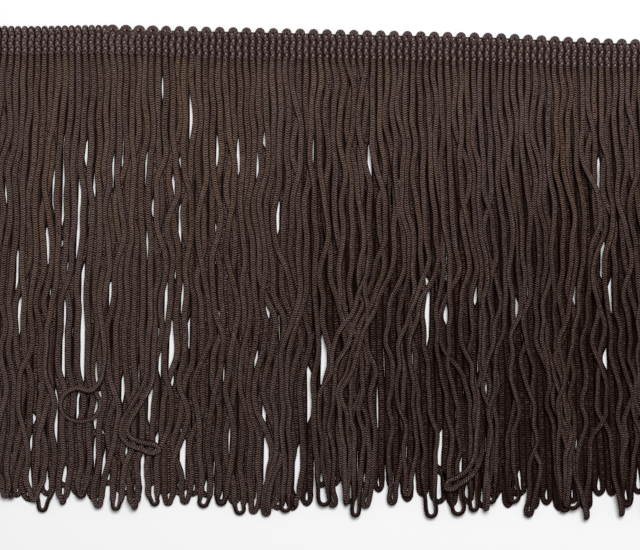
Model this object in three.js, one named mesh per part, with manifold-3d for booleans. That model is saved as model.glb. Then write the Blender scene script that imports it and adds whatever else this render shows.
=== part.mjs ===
// A length of loop fringe trim lying flat: a ribbed heading with knitted cord loops falling from it.
// Millimetres, X along the heading, +Y towards the heading, Z up, the trim rests on Z = 0.
import * as THREE from 'three';
import { mergeVertices } from 'three/addons/utils/BufferGeometryUtils.js';
import Module from 'manifold-3d';

// The ribs of the heading, one to each leg of a loop.
const LOOP_COUNT = 52;
const LEG_COUNT = 2 * LOOP_COUNT;
const RIB_PITCH = 2.1;
const FIRST_RIB_X = -108.8;
const RIB_FLAT = 0.7;
const RIB_CREST_Z = 2.4;
const RIB_VALLEY_Z = 1.5;

// The heading's top edge is a row of domes, over each rib at the left, then over every other rib.
const HEADING_TOP_Y = 75.6;
const HEADING_LOW_Y = 68.6;
const DOME_SHOULDER = 1.0;
const DOME_EDGE_Z = 1.1;
const DOME_TUCK = 0.2;
const SINGLE_DOMES_TO_X = -67.8;
const SINGLE_DOME_HALF = 1.05;
const SINGLE_DOME_DROP = 0.7;
const WIDE_DOME_HALF = 1.5;
const WIDE_DOME_DROP = 1.5;

// The heading bows up a little near its left end.
const BOW_HEIGHT = 1.1;
const BOW_X = -79;
const BOW_LEFT = 14;
const BOW_RIGHT = 40;

// The narrow strip that the cords grow from, parted from the heading.
const STRIP_TOP_Y = 68.3;
const STRIP_LOW_Y = 66.8;
const STRIP_Z = 2.4;
const STRIP_STEP_RIBS = 2;

// The cords.
const CORD_WIDTH = 1.65;
const CORD_HEIGHT = 1.4;
const CORD_SPACING = 1.95;
const CORD_GAP_MOST = 3.2;
const LOOP_SPACING = 4.2;
const LOOP_HALF = 1.05;
const DROP = 139.5;
const DROP_SPREAD = 3.4;
const LEG_ROWS = [0, 5, 18, 36, 58, 82, 106, 130];

// The front cords lie on the floor at the left and on the under loops at the right.
const LIFT = 1.65;
const LIFT_FROM_X = -14;
const LIFT_TO_X = 2;
const OVER_LIFT = 1.75;
const ROOT_Z_LIFTED = 1.1;
const SETTLE_DEPTH = 18;
const RISE_DEPTH = 24;
const TIP_SWAY = 0.1;
const TURN_STEPS = 4;

// How far a cord wanders by itself, in waves, and with the other leg of its loop.
const WANDER_OWN = 0.6;
const WANDER_WAVE = 0.4;
const WANDER_SHARED = 0.9;
const WAVE_DEPTH = 9;

// How far the cords have drifted along X, by the rib's X, at four depths below the heading.
const FLOW_DEPTHS = [0, 20, 50, 90, 140];
const FLOW = [
  { x: -110, drift: [0, 0.0, -2.0, -3.5, -5.5] },
  { x: -85, drift: [0, -0.5, -2.0, -4.5, -4.5] },
  { x: -70, drift: [0, 1.5, 2.0, 2.0, 1.5] },
  { x: -50, drift: [0, 0.5, 0.5, 3.5, 2.5] },
  { x: -25, drift: [0, 1.0, 1.0, 3.0, 3.0] },
  { x: 0, drift: [0, 1.0, 1.5, 3.5, 5.0] },
  { x: 20, drift: [0, 0.5, 3.0, 4.5, 6.5] },
  { x: 45, drift: [0, 0.5, 4.0, 6.5, 9.0] },
  { x: 80, drift: [0, 0.5, 3.5, 5.0, 8.0] },
  { x: 107, drift: [0, 0.5, 3.0, 5.0, 8.0] },
];

// Bundles of loops that cross to the left over their neighbours, between two depths.
const BUNDLES = [
  { firstLoop: 29, lastLoop: 30, from: 58, to: 112, shift: -17 },
  { firstLoop: 33, lastLoop: 33, from: 58, to: 90, shift: -9 },
];

// A loop that lies as a ring on its neighbours, its second leg crossing over the first.
const RING = { loop: 9, lastRow: 82, x: -74, y: -42.7, radiusX: 6.2, radiusY: 5.2 };
const RING_FROM_DEG = 35;
const RING_TURN_DEG = 290;
const RING_STEPS = 9;
// The cord's way into the ring and out of it, from the ring's first point, and its level there.
const RING_IN = [{ dx: -1.2, dy: 4.5, level: 1 }];
const RING_OUT = [
  { dx: -1.4, dy: 1.6, level: 2 },
  { dx: 1.2, dy: 4.6, level: 2 },
  { dx: 2.0, dy: 8.5, level: 1 },
];

// Loops that lie bent on their neighbours: the middle line between their two legs.
const BENT = [
  {
    loop: 15,
    lastRow: 106,
    middle: [
      { x: -44.3, y: -46.5 },
      { x: -46.0, y: -54.0 },
      { x: -50.5, y: -57.0 },
      { x: -56.0, y: -55.0 },
      { x: -61.0, y: -52.0 },
    ],
  },
  {
    loop: 36,
    lastRow: 106,
    middle: [
      { x: 51.0, y: -50.0 },
      { x: 50.5, y: -56.0 },
      { x: 48.5, y: -60.5 },
      { x: 45.0, y: -63.5 },
      { x: 41.5, y: -65.5 },
    ],
  },
];

// Shorter loops beneath the front ones, in the right half, grown from under every other rib.
const UNDER_COUNT = 12;
const UNDER_FIRST_RIB = 56;
const UNDER_RIB_STEP = 2;
const UNDER_DROP = 133;
const UNDER_DROP_SPREAD = 4;
const UNDER_ROWS = [0, 18, 58, 106];
const UNDER_ROOT_TOP = 0.9;
const UNDER_SWAY = 0.5;

const HEADING_COLOUR = 0x433533;
const CORD_COLOUR = 0x382c29;
const CORD_ROUGHNESS = 0.8;

const smooth = THREE.MathUtils.smoothstep;
const lerp = THREE.MathUtils.lerp;
const wasm = await Module();
wasm.setup();

// A fixed scatter between -1 and 1 for each cord and purpose.
function scatter(cord, purpose) {
  const wave = Math.sin(cord * 12.9898 + purpose * 78.233) * 43758.5453;
  return 2 * (wave - Math.floor(wave)) - 1;
}

function ribX(leg) {
  return FIRST_RIB_X + leg * RIB_PITCH;
}

function bow(x) {
  const reach = x < BOW_X ? BOW_LEFT : BOW_RIGHT;
  return BOW_HEIGHT * Math.exp(-(((x - BOW_X) / reach) ** 2));
}

// Y of a point on a cord that left the heading at rib x, at a depth below the heading.
function depthY(x, depth) {
  return STRIP_LOW_Y + bow(x) * (1 - depth / DROP) - depth;
}

function driftAt(drift, depth) {
  let band = 0;
  while (band < FLOW_DEPTHS.length - 2 && depth > FLOW_DEPTHS[band + 1]) band += 1;
  const t = (depth - FLOW_DEPTHS[band]) / (FLOW_DEPTHS[band + 1] - FLOW_DEPTHS[band]);
  return lerp(drift[band], drift[band + 1], Math.min(t, 1));
}

function flow(x, depth) {
  let band = 0;
  while (band < FLOW.length - 2 && x > FLOW[band + 1].x) band += 1;
  const a = FLOW[band];
  const b = FLOW[band + 1];
  const t = THREE.MathUtils.clamp((x - a.x) / (b.x - a.x), 0, 1);
  return lerp(driftAt(a.drift, depth), driftAt(b.drift, depth), t);
}

// Each cord wanders by itself, and the two legs of a loop wander together.
function wander(leg, depth) {
  const reach = depth / DROP;
  const own = WANDER_OWN * scatter(leg, 1);
  const wave = WANDER_WAVE * Math.sin(depth / WAVE_DEPTH + 3 * scatter(leg, 2));
  const shared = WANDER_SHARED * scatter(Math.floor(leg / 2), 3);
  return reach * (own + wave + shared);
}

function bundleOf(leg) {
  const loop = Math.floor(leg / 2);
  return BUNDLES.find((b) => loop >= b.firstLoop && loop <= b.lastLoop);
}

// The depth from which a leg lies on its neighbours, past its foot for most legs.
function overFrom(leg) {
  const loop = Math.floor(leg / 2);
  const bent = BENT.find((b) => b.loop === loop);
  if (loop === RING.loop) return RING.lastRow;
  if (bent) return bent.lastRow;
  return bundleOf(leg) ? bundleOf(leg).from : 2 * DROP;
}

// Ordered places no nearer than the least spacing, each as near its wish as the others allow.
function spaced(wishes, least) {
  const blocks = [];
  wishes.forEach((wish, i) => {
    blocks.push({ sum: wish - i * least, count: 1 });
    while (blocks.length > 1) {
      const last = blocks[blocks.length - 1];
      const before = blocks[blocks.length - 2];
      if (before.sum / before.count <= last.sum / last.count) break;
      before.sum += last.sum;
      before.count += last.count;
      blocks.pop();
    }
  });
  const places = blocks.flatMap((b) => Array(b.count).fill(b.sum / b.count));
  return places.map((p, i) => p + i * least);
}

// Draws neighbours together over gaps wider than the most, where cords have gone elsewhere.
function closed(wishes, most) {
  const places = [...wishes];
  for (let round = 0; round < 60; round += 1) {
    for (let i = 0; i + 1 < places.length; i += 1) {
      const over = places[i + 1] - places[i] - most;
      if (over > 0) {
        places[i] += 0.3 * over;
        places[i + 1] -= 0.3 * over;
      }
    }
  }
  return places;
}

// X of every leg at every row; a loop's last row sets its two legs a loop's width apart.
function layOut() {
  const legs = Array.from({ length: LEG_COUNT }, (_, leg) => leg);
  return LEG_ROWS.map((depth, row) => {
    const xs = new Array(LEG_COUNT);
    const last = row === LEG_ROWS.length - 1;
    const wish = (leg) => ribX(leg) + flow(ribX(leg), depth) + wander(leg, depth);
    const place = (group, shift, most) => {
      if (last) {
        const loops = group.filter((leg) => leg % 2 === 0);
        const middles = loops.map((leg) => (wish(leg) + wish(leg + 1)) / 2 + shift);
        spaced(closed(middles, 2 * most), LOOP_SPACING).forEach((x, i) => {
          xs[loops[i]] = x - LOOP_HALF;
          xs[loops[i] + 1] = x + LOOP_HALF;
        });
      } else {
        const wishes = group.map((leg) => wish(leg) + shift);
        spaced(closed(wishes, most), CORD_SPACING).forEach((x, i) => {
          xs[group[i]] = x;
        });
      }
    };
    const away = (leg) => {
      const bundle = bundleOf(leg);
      return bundle !== undefined && depth > bundle.from;
    };
    place(legs.filter((leg) => !away(leg)), 0, CORD_GAP_MOST);
    BUNDLES.forEach((bundle) => {
      if (depth <= bundle.from) return;
      const shift = bundle.shift * smooth(depth, bundle.from, bundle.to);
      place(legs.filter((leg) => bundleOf(leg) === bundle), shift, CORD_SPACING + 0.2);
    });
    return xs;
  });
}

function liftAt(x) {
  return LIFT * smooth(x, LIFT_FROM_X, LIFT_TO_X);
}

// True for a rib that an under leg grows from.
function hasUnderLeg(rib) {
  const on = rib - UNDER_FIRST_RIB;
  return on >= 0 && on < 2 * UNDER_RIB_STEP * UNDER_COUNT && on % UNDER_RIB_STEP === 0;
}

// The underside and top of a front leg at a row.
function legLevel(leg, depth) {
  if (depth === 0) return { low: hasUnderLeg(leg) ? ROOT_Z_LIFTED : 0, top: STRIP_Z };
  const settled = smooth(depth, 0, SETTLE_DEPTH);
  const lifted = liftAt(ribX(leg)) / LIFT;
  const from = overFrom(leg);
  const over = OVER_LIFT * smooth(depth, from - RISE_DEPTH, from);
  const low = lifted * lerp(ROOT_Z_LIFTED, LIFT, settled) + over;
  return { low, top: low + CORD_HEIGHT };
}

// A point of the strip's lower face, which the cords grow from.
function stripPoint(x, z) {
  return new THREE.Vector3(x, STRIP_LOW_Y + bow(x), z);
}

// The four corners of a cord's section, seen along the cord: a root's lie on the strip.
function corners(section, along) {
  const sideX = (-along.y * CORD_WIDTH) / 2;
  const sideY = (along.x * CORD_WIDTH) / 2;
  const { x, y, low, top, rib } = section;
  if (rib !== undefined) {
    const half = Math.sign(sideX) * (CORD_WIDTH / 2);
    return [
      stripPoint(ribX(rib) + half, low),
      stripPoint(ribX(rib) - half, low),
      stripPoint(ribX(rib) - half, top),
      stripPoint(ribX(rib) + half, top),
    ];
  }
  return [
    new THREE.Vector3(x + sideX, y + sideY, low),
    new THREE.Vector3(x - sideX, y - sideY, low),
    new THREE.Vector3(x - sideX, y - sideY, top),
    new THREE.Vector3(x + sideX, y + sideY, top),
  ];
}

function addFace(faces, ...points) {
  for (let i = 1; i + 1 < points.length; i += 1) faces.push(points[0], points[i], points[i + 1]);
}

// The four sides of a cord through its sections; its two ends are left to the strip.
function addCord(faces, sections) {
  const rings = sections.map((section, i) => {
    const a = sections[Math.max(i - 1, 0)];
    const b = sections[Math.min(i + 1, sections.length - 1)];
    return corners(section, new THREE.Vector2(b.x - a.x, b.y - a.y).normalize());
  });
  for (let r = 0; r + 1 < rings.length; r += 1) {
    for (let k = 0; k < 4; k += 1) {
      const next = (k + 1) % 4;
      addFace(faces, rings[r][k], rings[r + 1][k], rings[r + 1][next], rings[r][next]);
    }
  }
}

// A mesh's geometry from its faces, three points to each.
function geometryOf(faces) {
  const geometry = new THREE.BufferGeometry().setFromPoints(faces);
  return mergeVertices(geometry, 1e-4);
}

// A front leg's sections from the heading down to a row.
function legSections(places, leg, lastRow) {
  const rows = LEG_ROWS.filter((depth) => depth <= lastRow);
  return rows.map((depth, row) => {
    const y = depthY(ribX(leg), depth);
    const rib = depth === 0 ? leg : undefined;
    return { x: places[row][leg], y, rib, ...legLevel(leg, depth) };
  });
}

// The turn at a loop's foot: down one side, round, and up the other.
function turnSections(middleX, tipY, low) {
  const turn = [];
  for (let step = 0; step <= TURN_STEPS; step += 1) {
    const angle = Math.PI * (1 + step / TURN_STEPS);
    const x = middleX + LOOP_HALF * Math.cos(angle);
    const y = tipY + LOOP_HALF * (1 + Math.sin(angle));
    turn.push({ x, y, low, top: low + CORD_HEIGHT });
  }
  return turn;
}

// A front loop: down one leg, round and up the other.
function frontLoop(places, loop) {
  const left = 2 * loop;
  const lastRow = LEG_ROWS[LEG_ROWS.length - 1];
  const down = legSections(places, left, lastRow);
  const up = legSections(places, left + 1, lastRow).reverse();
  const foot = down[down.length - 1];
  const middleX = foot.x + LOOP_HALF + TIP_SWAY * scatter(loop, 5);
  const tipY = depthY(ribX(left), DROP + DROP_SPREAD * scatter(loop, 4));
  return [...down, ...turnSections(middleX, tipY, foot.low), ...up];
}

// The loop that lies as a ring.
function ringLoop(places) {
  const left = 2 * RING.loop;
  const down = legSections(places, left, RING.lastRow);
  const up = legSections(places, left + 1, RING.lastRow).reverse();
  const at = (x, y, level) => {
    const low = level * OVER_LIFT;
    return { x, y, low, top: low + CORD_HEIGHT };
  };
  const ring = [];
  for (let step = 0; step <= RING_STEPS; step += 1) {
    const angle = THREE.MathUtils.degToRad(RING_FROM_DEG - (RING_TURN_DEG * step) / RING_STEPS);
    const x = RING.x + RING.radiusX * Math.cos(angle);
    ring.push(at(x, RING.y + RING.radiusY * Math.sin(angle), 1));
  }
  const beside = (row) => at(ring[0].x + row.dx, ring[0].y + row.dy, row.level);
  return [...down, ...RING_IN.map(beside), ...ring, ...RING_OUT.map(beside), ...up];
}

// A loop that lies bent: out along one side of its middle line, round its tip and back.
function bentLoop(places, bent) {
  const left = 2 * bent.loop;
  const down = legSections(places, left, bent.lastRow);
  const up = legSections(places, left + 1, bent.lastRow).reverse();
  const low = liftAt(ribX(left)) + OVER_LIFT;
  const top = low + CORD_HEIGHT;
  const outward = [];
  const homeward = [];
  bent.middle.forEach((m, i) => {
    const a = bent.middle[Math.max(i - 1, 0)];
    const b = bent.middle[Math.min(i + 1, bent.middle.length - 1)];
    const along = new THREE.Vector2(b.x - a.x, b.y - a.y).normalize().multiplyScalar(LOOP_HALF);
    outward.push({ x: m.x + along.y, y: m.y - along.x, low, top });
    homeward.unshift({ x: m.x - along.y, y: m.y + along.x, low, top });
    if (i === bent.middle.length - 1) {
      outward.push({ x: m.x + along.x, y: m.y + along.y, low, top });
    }
  });
  return [...down, ...outward, ...homeward, ...up];
}

// A loop beneath the front ones, on the floor.
function underLoop(index) {
  const firstRib = UNDER_FIRST_RIB + 2 * UNDER_RIB_STEP * index;
  const leg = (rib) => UNDER_ROWS.map((depth) => {
    const root = ribX(rib);
    const own = UNDER_SWAY * wander(2 * LEG_COUNT + rib, depth);
    const x = root + flow(root, depth) + own;
    const y = depthY(root, depth);
    if (depth === 0) return { x, y, rib, low: 0, top: UNDER_ROOT_TOP };
    return { x, y, low: 0, top: CORD_HEIGHT };
  });
  const down = leg(firstRib);
  const up = leg(firstRib + UNDER_RIB_STEP).reverse();
  const footX = (down[down.length - 1].x + up[0].x) / 2 + UNDER_SWAY;
  const drop = UNDER_DROP + UNDER_DROP_SPREAD * scatter(index, 6);
  return [...down, ...turnSections(footX, depthY(ribX(firstRib), drop), 0), ...up];
}

// The levels at which roots meet the strip's lower face at a rib.
function rootLevels(rib) {
  return hasUnderLeg(rib) ? [0, UNDER_ROOT_TOP, ROOT_Z_LIFTED, STRIP_Z] : [0, STRIP_Z];
}

// The narrow strip, bowed with the heading, open where the cords grow from it.
function addStrip(faces) {
  const backPoint = (x, z) => new THREE.Vector3(x, STRIP_TOP_Y + bow(x), z);
  const leftOf = (rib) => ribX(rib) - CORD_WIDTH / 2;
  const rightOf = (rib) => ribX(rib) + CORD_WIDTH / 2;
  for (let rib = 0; rib < LEG_COUNT; rib += 1) {
    const low = (z) => [stripPoint(leftOf(rib), z), stripPoint(rightOf(rib), z)];
    if (hasUnderLeg(rib)) {
      const [a, b] = low(UNDER_ROOT_TOP);
      const [d, c] = low(ROOT_Z_LIFTED);
      addFace(faces, a, b, c, d);
    }
    if (rib + 1 === LEG_COUNT) break;
    const here = rootLevels(rib).map((z) => stripPoint(rightOf(rib), z));
    const there = rootLevels(rib + 1).map((z) => stripPoint(leftOf(rib + 1), z));
    const [lowHere, ...restHere] = here;
    addFace(faces, lowHere, ...there);
    addFace(faces, there[there.length - 1], ...restHere.reverse(), lowHere);
  }
  for (let rib = 0; rib < LEG_COUNT; rib += STRIP_STEP_RIBS) {
    const next = rib + STRIP_STEP_RIBS;
    const endX = next < LEG_COUNT ? leftOf(next) : rightOf(LEG_COUNT - 1);
    const front = [];
    for (let r = rib; r < next; r += 1) front.push(leftOf(r), rightOf(r));
    if (next < LEG_COUNT) front.push(endX);
    const back = (z) => [backPoint(leftOf(rib), z), backPoint(endX, z)];
    const [b0, b1] = back(0);
    const [t0, t1] = back(STRIP_Z);
    addFace(faces, b0, b1, ...front.map((x) => stripPoint(x, 0)).reverse());
    addFace(faces, t1, t0, ...front.map((x) => stripPoint(x, STRIP_Z)));
    addFace(faces, b0, t0, t1, b1);
  }
  const endFace = (x) => [
    stripPoint(x, 0),
    stripPoint(x, STRIP_Z),
    backPoint(x, STRIP_Z),
    backPoint(x, 0),
  ];
  addFace(faces, ...endFace(leftOf(0)));
  addFace(faces, ...endFace(rightOf(LEG_COUNT - 1)).reverse());
}

// The strip with every loop grown from it.
function loopFringe() {
  const places = layOut();
  const faces = [];
  addStrip(faces);
  for (let loop = 0; loop < LOOP_COUNT; loop += 1) {
    const bent = BENT.find((b) => b.loop === loop);
    if (loop === RING.loop) addCord(faces, ringLoop(places));
    else if (bent) addCord(faces, bentLoop(places, bent));
    else addCord(faces, frontLoop(places, loop));
  }
  for (let index = 0; index < UNDER_COUNT; index += 1) addCord(faces, underLoop(index));
  return geometryOf(faces);
}

// How far the top edge lies below the top of its dome.
function domeDrop(x) {
  const single = x < SINGLE_DOMES_TO_X;
  const pitch = single ? RIB_PITCH : 2 * RIB_PITCH;
  const half = single ? SINGLE_DOME_HALF : WIDE_DOME_HALF;
  const drop = single ? SINGLE_DOME_DROP : WIDE_DOME_DROP;
  const turn = (x - FIRST_RIB_X) / pitch;
  const off = Math.min(1, (pitch / half) * Math.abs(turn - Math.round(turn)));
  return drop * (1 - Math.sqrt(1 - off * off));
}

// The ribbed heading, one ring of points across it at each valley and each side of a crest.
function heading() {
  const across = (x, z) => {
    const lift = bow(x);
    const top = HEADING_TOP_Y + lift - domeDrop(x);
    return [
      new THREE.Vector3(x, HEADING_LOW_Y + lift, 0),
      new THREE.Vector3(x, HEADING_LOW_Y + lift, z),
      new THREE.Vector3(x, top - DOME_SHOULDER, z),
      new THREE.Vector3(x, top, DOME_EDGE_Z),
      new THREE.Vector3(x, top - DOME_TUCK, 0),
    ];
  };
  const rings = [];
  for (let leg = 0; leg < LEG_COUNT; leg += 1) {
    rings.push(across(ribX(leg - 0.5), RIB_VALLEY_Z));
    rings.push(across(ribX(leg) - RIB_FLAT / 2, RIB_CREST_Z));
    rings.push(across(ribX(leg) + RIB_FLAT / 2, RIB_CREST_Z));
  }
  rings.push(across(ribX(LEG_COUNT - 0.5), RIB_VALLEY_Z));
  const faces = [];
  for (let r = 0; r + 1 < rings.length; r += 1) {
    rings[r].forEach((point, k) => {
      const next = (k + 1) % rings[r].length;
      addFace(faces, point, rings[r + 1][k], rings[r + 1][next], rings[r][next]);
    });
  }
  addFace(faces, ...rings[0]);
  addFace(faces, ...rings[rings.length - 1].reverse());
  return geometryOf(faces);
}

// A named piece, checked to be one closed solid.
function piece(name, geometry, colour) {
  geometry.deleteAttribute('normal');
  const solid = new wasm.Manifold(new wasm.Mesh({
    numProp: 3,
    vertProperties: new Float32Array(geometry.attributes.position.array),
    triVerts: new Uint32Array(geometry.index.array),
  }));
  if (solid.volume() <= 0) throw new Error(`${name} is inside out`);
  geometry.computeVertexNormals();
  const material = new THREE.MeshStandardMaterial({
    color: colour,
    roughness: CORD_ROUGHNESS,
    metalness: 0,
  });
  const mesh = new THREE.Mesh(geometry, material);
  mesh.name = name;
  return mesh;
}

const group = new THREE.Group();
group.name = 'loop_fringe_trim';
group.add(piece('heading', heading(), HEADING_COLOUR));
group.add(piece('loop_fringe', loopFringe(), CORD_COLOUR));

export default group;
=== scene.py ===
"""A length of loop fringe trim lying flat: a ribbed heading and a dense fall of knitted loops."""

import math

import bpy
import numpy as np
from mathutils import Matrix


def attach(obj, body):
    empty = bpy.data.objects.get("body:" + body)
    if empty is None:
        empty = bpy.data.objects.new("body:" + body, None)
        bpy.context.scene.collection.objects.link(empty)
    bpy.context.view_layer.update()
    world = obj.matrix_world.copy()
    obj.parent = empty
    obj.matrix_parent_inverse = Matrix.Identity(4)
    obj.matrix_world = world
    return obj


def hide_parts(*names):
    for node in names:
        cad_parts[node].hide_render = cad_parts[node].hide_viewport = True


bl_info = {
    "name": "Loop fringe trim",
    "version": (1, 0, 0),
    "blender": (4, 5, 0),
    "location": "View3D > Sidebar > Fringe",
    "description": "Dresses a length of loop fringe trim in knitted cord",
    "category": "Object",
}

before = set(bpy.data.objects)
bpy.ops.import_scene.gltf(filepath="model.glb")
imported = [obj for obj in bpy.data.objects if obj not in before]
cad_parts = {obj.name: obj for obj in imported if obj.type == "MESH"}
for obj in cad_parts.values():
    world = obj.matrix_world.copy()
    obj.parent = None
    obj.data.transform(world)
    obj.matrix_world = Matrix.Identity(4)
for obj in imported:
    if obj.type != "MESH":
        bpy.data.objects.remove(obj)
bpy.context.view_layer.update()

# Sizes are in metres. Most pairs are the two ends of a soft step: of X where the name ends in X,
# and else of depth below the heading's foot.

# The heading: its first rib, its edges, and the slight bow at its left.
FIRST_RIB_X = -0.1088
HEADING_TOP_Y = 0.0756
FOOT_Y = 0.0668
BOW_HEIGHT = 0.00095
BOW_FROM = (-0.098, -0.066)
BOW_TO = (0.048, 0.090)
ROLLED_BACK = 0.0009
ROLLED_BACK_TO = (-0.062, -0.030)

# The ribs: wider at the left, and pinched, lowered and set zigzag by the rows of stitches.
RIB_Z = 0.00145
RIB_HALF_HEIGHT = 0.00095
RIB_HALF = 0.00077
RIB_SPREAD_LEFT = 0.00016
RIB_SPREAD_X = (-0.066, -0.036)
RIB_FULLER = 0.00008
RIB_PINCH = 0.00018
RIB_SINK = 0.00030
RIB_ZIGZAG = 0.00020
RIB_BELOW_FOOT = 0.0012
RIB_TAIL_FALL = 0.0004
RIB_FALL_LENGTH = 0.0030
RIB_POINTS = 17
RIB_RING_STEP = 0.00045

# The domes along the top edge: single rib ends at the left, and arches over every second rib.
SINGLE_DOMES_TO_X = -0.0678
SINGLE_DOME_HALF = 0.00098
DOME_CAP_LENGTH = 0.0016
DOME_TURN = 0.0006
DOME_FOOT_Z = 0.0003
UNDER_ARCH = 0.0016
BETWEEN_ARCHES = 0.0014
BROAD_ARCHES_TO_X = -0.0520
BROAD_ARCH = 0.00125
NARROW_ARCH = 0.00080
ARCH_SHIFT = 0.00015
ARCH_Z = 0.00155
ARCH_HALF = 0.00076
ARCH_HALF_HEIGHT = 0.00085
ARCH_RING_STEP = 0.0004
# The sides of an arch: the share of its radius, how far below its middle, and the height.
ARCH_SIDE = ((0.95, 0.0011, 0.0005), (1.0, 0.0004, 0.0012))

# The stitches, and the section of the band under the ribs as y and z.
STITCH_ROWS = 4
STITCH_POINTS = 7
LAST_STITCH_ABOVE_FOOT = 0.0003
STITCH_ROW_PITCH = 0.0020
STITCH_STRAY_X = 0.00010
STITCH_STRAY_Y = 0.00015
STITCH_SINK = 0.00016
STITCH_BEND = 0.00030
STITCH_HALF = 0.00027
STITCH_HALF_HEIGHT = 0.00026
STITCH_TWIST = 0.00030
# Where the stitches' painted highlight grows stronger, towards the right.
STITCH_HIGHLIGHT_X = (-0.060, 0.030)
BAND_PAST_RIBS = 0.0009
BAND_STATIONS = 160
BAND_SECTION = (
    (0.0618, 0.00005), (0.0618, 0.0002), (0.0668, 0.0009), (0.0734, 0.0010), (0.0742, 0.0008),
    (0.0742, 0.00005),
)

# The loops, and how the right half lies lifted on the second layer.
LOOPS = 52
LEGS = 2 * LOOPS
LOOP_GROUPS = (("left", 0, 17), ("middle", 17, 35), ("right", 35, LOOPS))
LONGER_LEFT = 0.0018
LONGER_X = (-0.040, 0.020)
LIFT = 0.00165
LIFTED_X = (-0.0140, 0.0020)
ROOT_LIFT = 0.0007
ROOT_RAISED = 0.0003
ROOT_RAISED_TO = 0.008
ROOT_HALF = 0.00068
ROOT_WIDENS = (-0.0005, 0.0050)
SETTLE_DEPTH = 0.0180
UNEVEN = 0.0001
UNEVEN_RIGHT = 0.0002
UNEVEN_WAVE = 0.046
TILTING_STEP = 0.0008
PLUMP = 1.20
ROLL_FROM = (0.004, 0.090)
ROLL_WAVE = 0.052

# The rows that the legs are laid out in, and the points, rings and sides of a cord.
ROW_STEP = 0.0020
LAST_DEPTH = 0.1440
ROOT_DEPTH = 0.0003
FIRST_DEPTH = 0.0018
POINT_STEP = 0.003
LAST_POINT_CLEAR = 0.002
RING_STEP = 0.0011
RING_BEND = math.radians(22)
SECTION_SIDES = 12
FEWER_SIDES = 8

# How near two cords may lie when pushed together, and how wide a gap closes up by itself.
SQUEEZE = 0.00160
SQUEEZE_EDGE = 0.00095
SQUEEZE_RIGHT = 0.00120
SQUEEZE_LOWER = 0.00045
SQUEEZED_FROM = (0.0, 0.007)
GAP_MOST = 0.00240
GAP_LESS_LOWER = 0.00026
GAP_MORE_RIGHT = 0.0009
CLOSING_TURNS = 450
PULL = 0.20
PULL_RIGHT = 0.10

# Where the lie of the left half goes over into that of the right half, and the lower fringe.
LEFT_X = (-0.055, -0.025)
TIGHTER_X = (-0.020, 0.005)
GATHER_X = (-0.030, 0.005)
STRAYING_X = (-0.030, 0.010)
LOOSE_X = (-0.0140, 0.0200)
RIGHT_X = (-0.0140, 0.0300)
LOWER = (0.060, 0.110)
SLIMMER = (0.040, 0.100)
SLIM_LEFT = 0.48

# How the cords gather in bunches, lean, wander and sway on their way down.
GATHER = 0.22
GATHER_RIGHT = 0.26
GATHER_FROM = (0.004, 0.040)
LOOP_LEAN = 0.0006
LOOP_LEAN_LEFT = 0.0012
LOOP_LEAN_LENGTH = 0.040
LEAN_LEFT = 0.0032
LEAN_LEFT_FROM = (0.070, 0.132)
WANDER_OWN = 0.0006
WANDER_WAVE = 0.0004
WANDER_SHARED = 0.0009
WAVE_DEPTH = 0.0090
SWAY = 0.00076
SWAY_RIGHT = 0.00082
SWAY_FROM = (0.0, 0.008)
SHARED_WAVES = ((0.041, 0.037), (0.027, -0.023))
BUNCH_WAVE = 0.048
BUNCH_RIPPLE = 0.023
CORD_WAVE = 0.029
CORD_RIPPLE = 0.013
CORD_RIPPLE_FROM = (0.050, 0.090)

# Where neighbouring cords change places: the first place, the next ones, and back again;
# the legs over which it grows rarer, and the last leg that may stay tangled.
CROSSING = 0.0075
CROSSING_TURNS = 4
CROSSING_FIRST = 0.020
CROSSING_PITCH = 0.028
CROSSING_SPREAD = 0.013
CROSSED_FOR = 0.019
OWN_LOOP_LOWER = 0.045
CROSSING_RARER = (30, 50)
TANGLED_LEGS = 44

# Legs that lie over their neighbours for a while: where, how long and how far, with the spread,
# and the small curl that every leg has.
OVER_TURNS = (0, 5)
OVER_FIRST = 0.030
OVER_LATER = 0.009
OVER_SPREAD = 0.026
OVER_LENGTH = (0.036, 0.010)
OVER_SHIFT = (0.0016, 0.0010)
CURL = 0.00015
CURL_RIGHT = 0.00055
CURL_WAVE = 0.017
CURL_FROM = (0.030, 0.100)

# The feet of the loops: how they lean and twist, measured up from the tip, and how they open.
FOOT_LEAN = 0.0005
FOOT_LEAN_RIGHT = 0.0037
FOOT_LEAN_OVER = 0.0020
FOOT_LEAN_LENGTH = 0.025
FOOT_LEAN_LENGTH_RIGHT = 0.020
FOOT_FREE = (0.045, 0.015)
FOOT_TWIST = 0.00105
FOOT_TWIST_FROM = (0.048, 0.022)
END_LENGTH = 0.0042
END_LENGTH_RIGHT = 0.0165
LEGS_APART = 0.0012
FOOT_HALF = 0.00082
FOOT_OVER = 0.0011
EYE_TIGHT = 0.00080
EYE_OPEN = 0.00112
EYE_OPEN_RIGHT = 0.00040
EYE_SPREAD = 0.00024
EYE_SPREAD_RIGHT = 0.00030
EYE_LEAN = 0.0007
EYE_LEAN_RIGHT = 0.0014
EYE_ROLL = 1.25
ON_EDGE_TURN = 1.25

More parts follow.
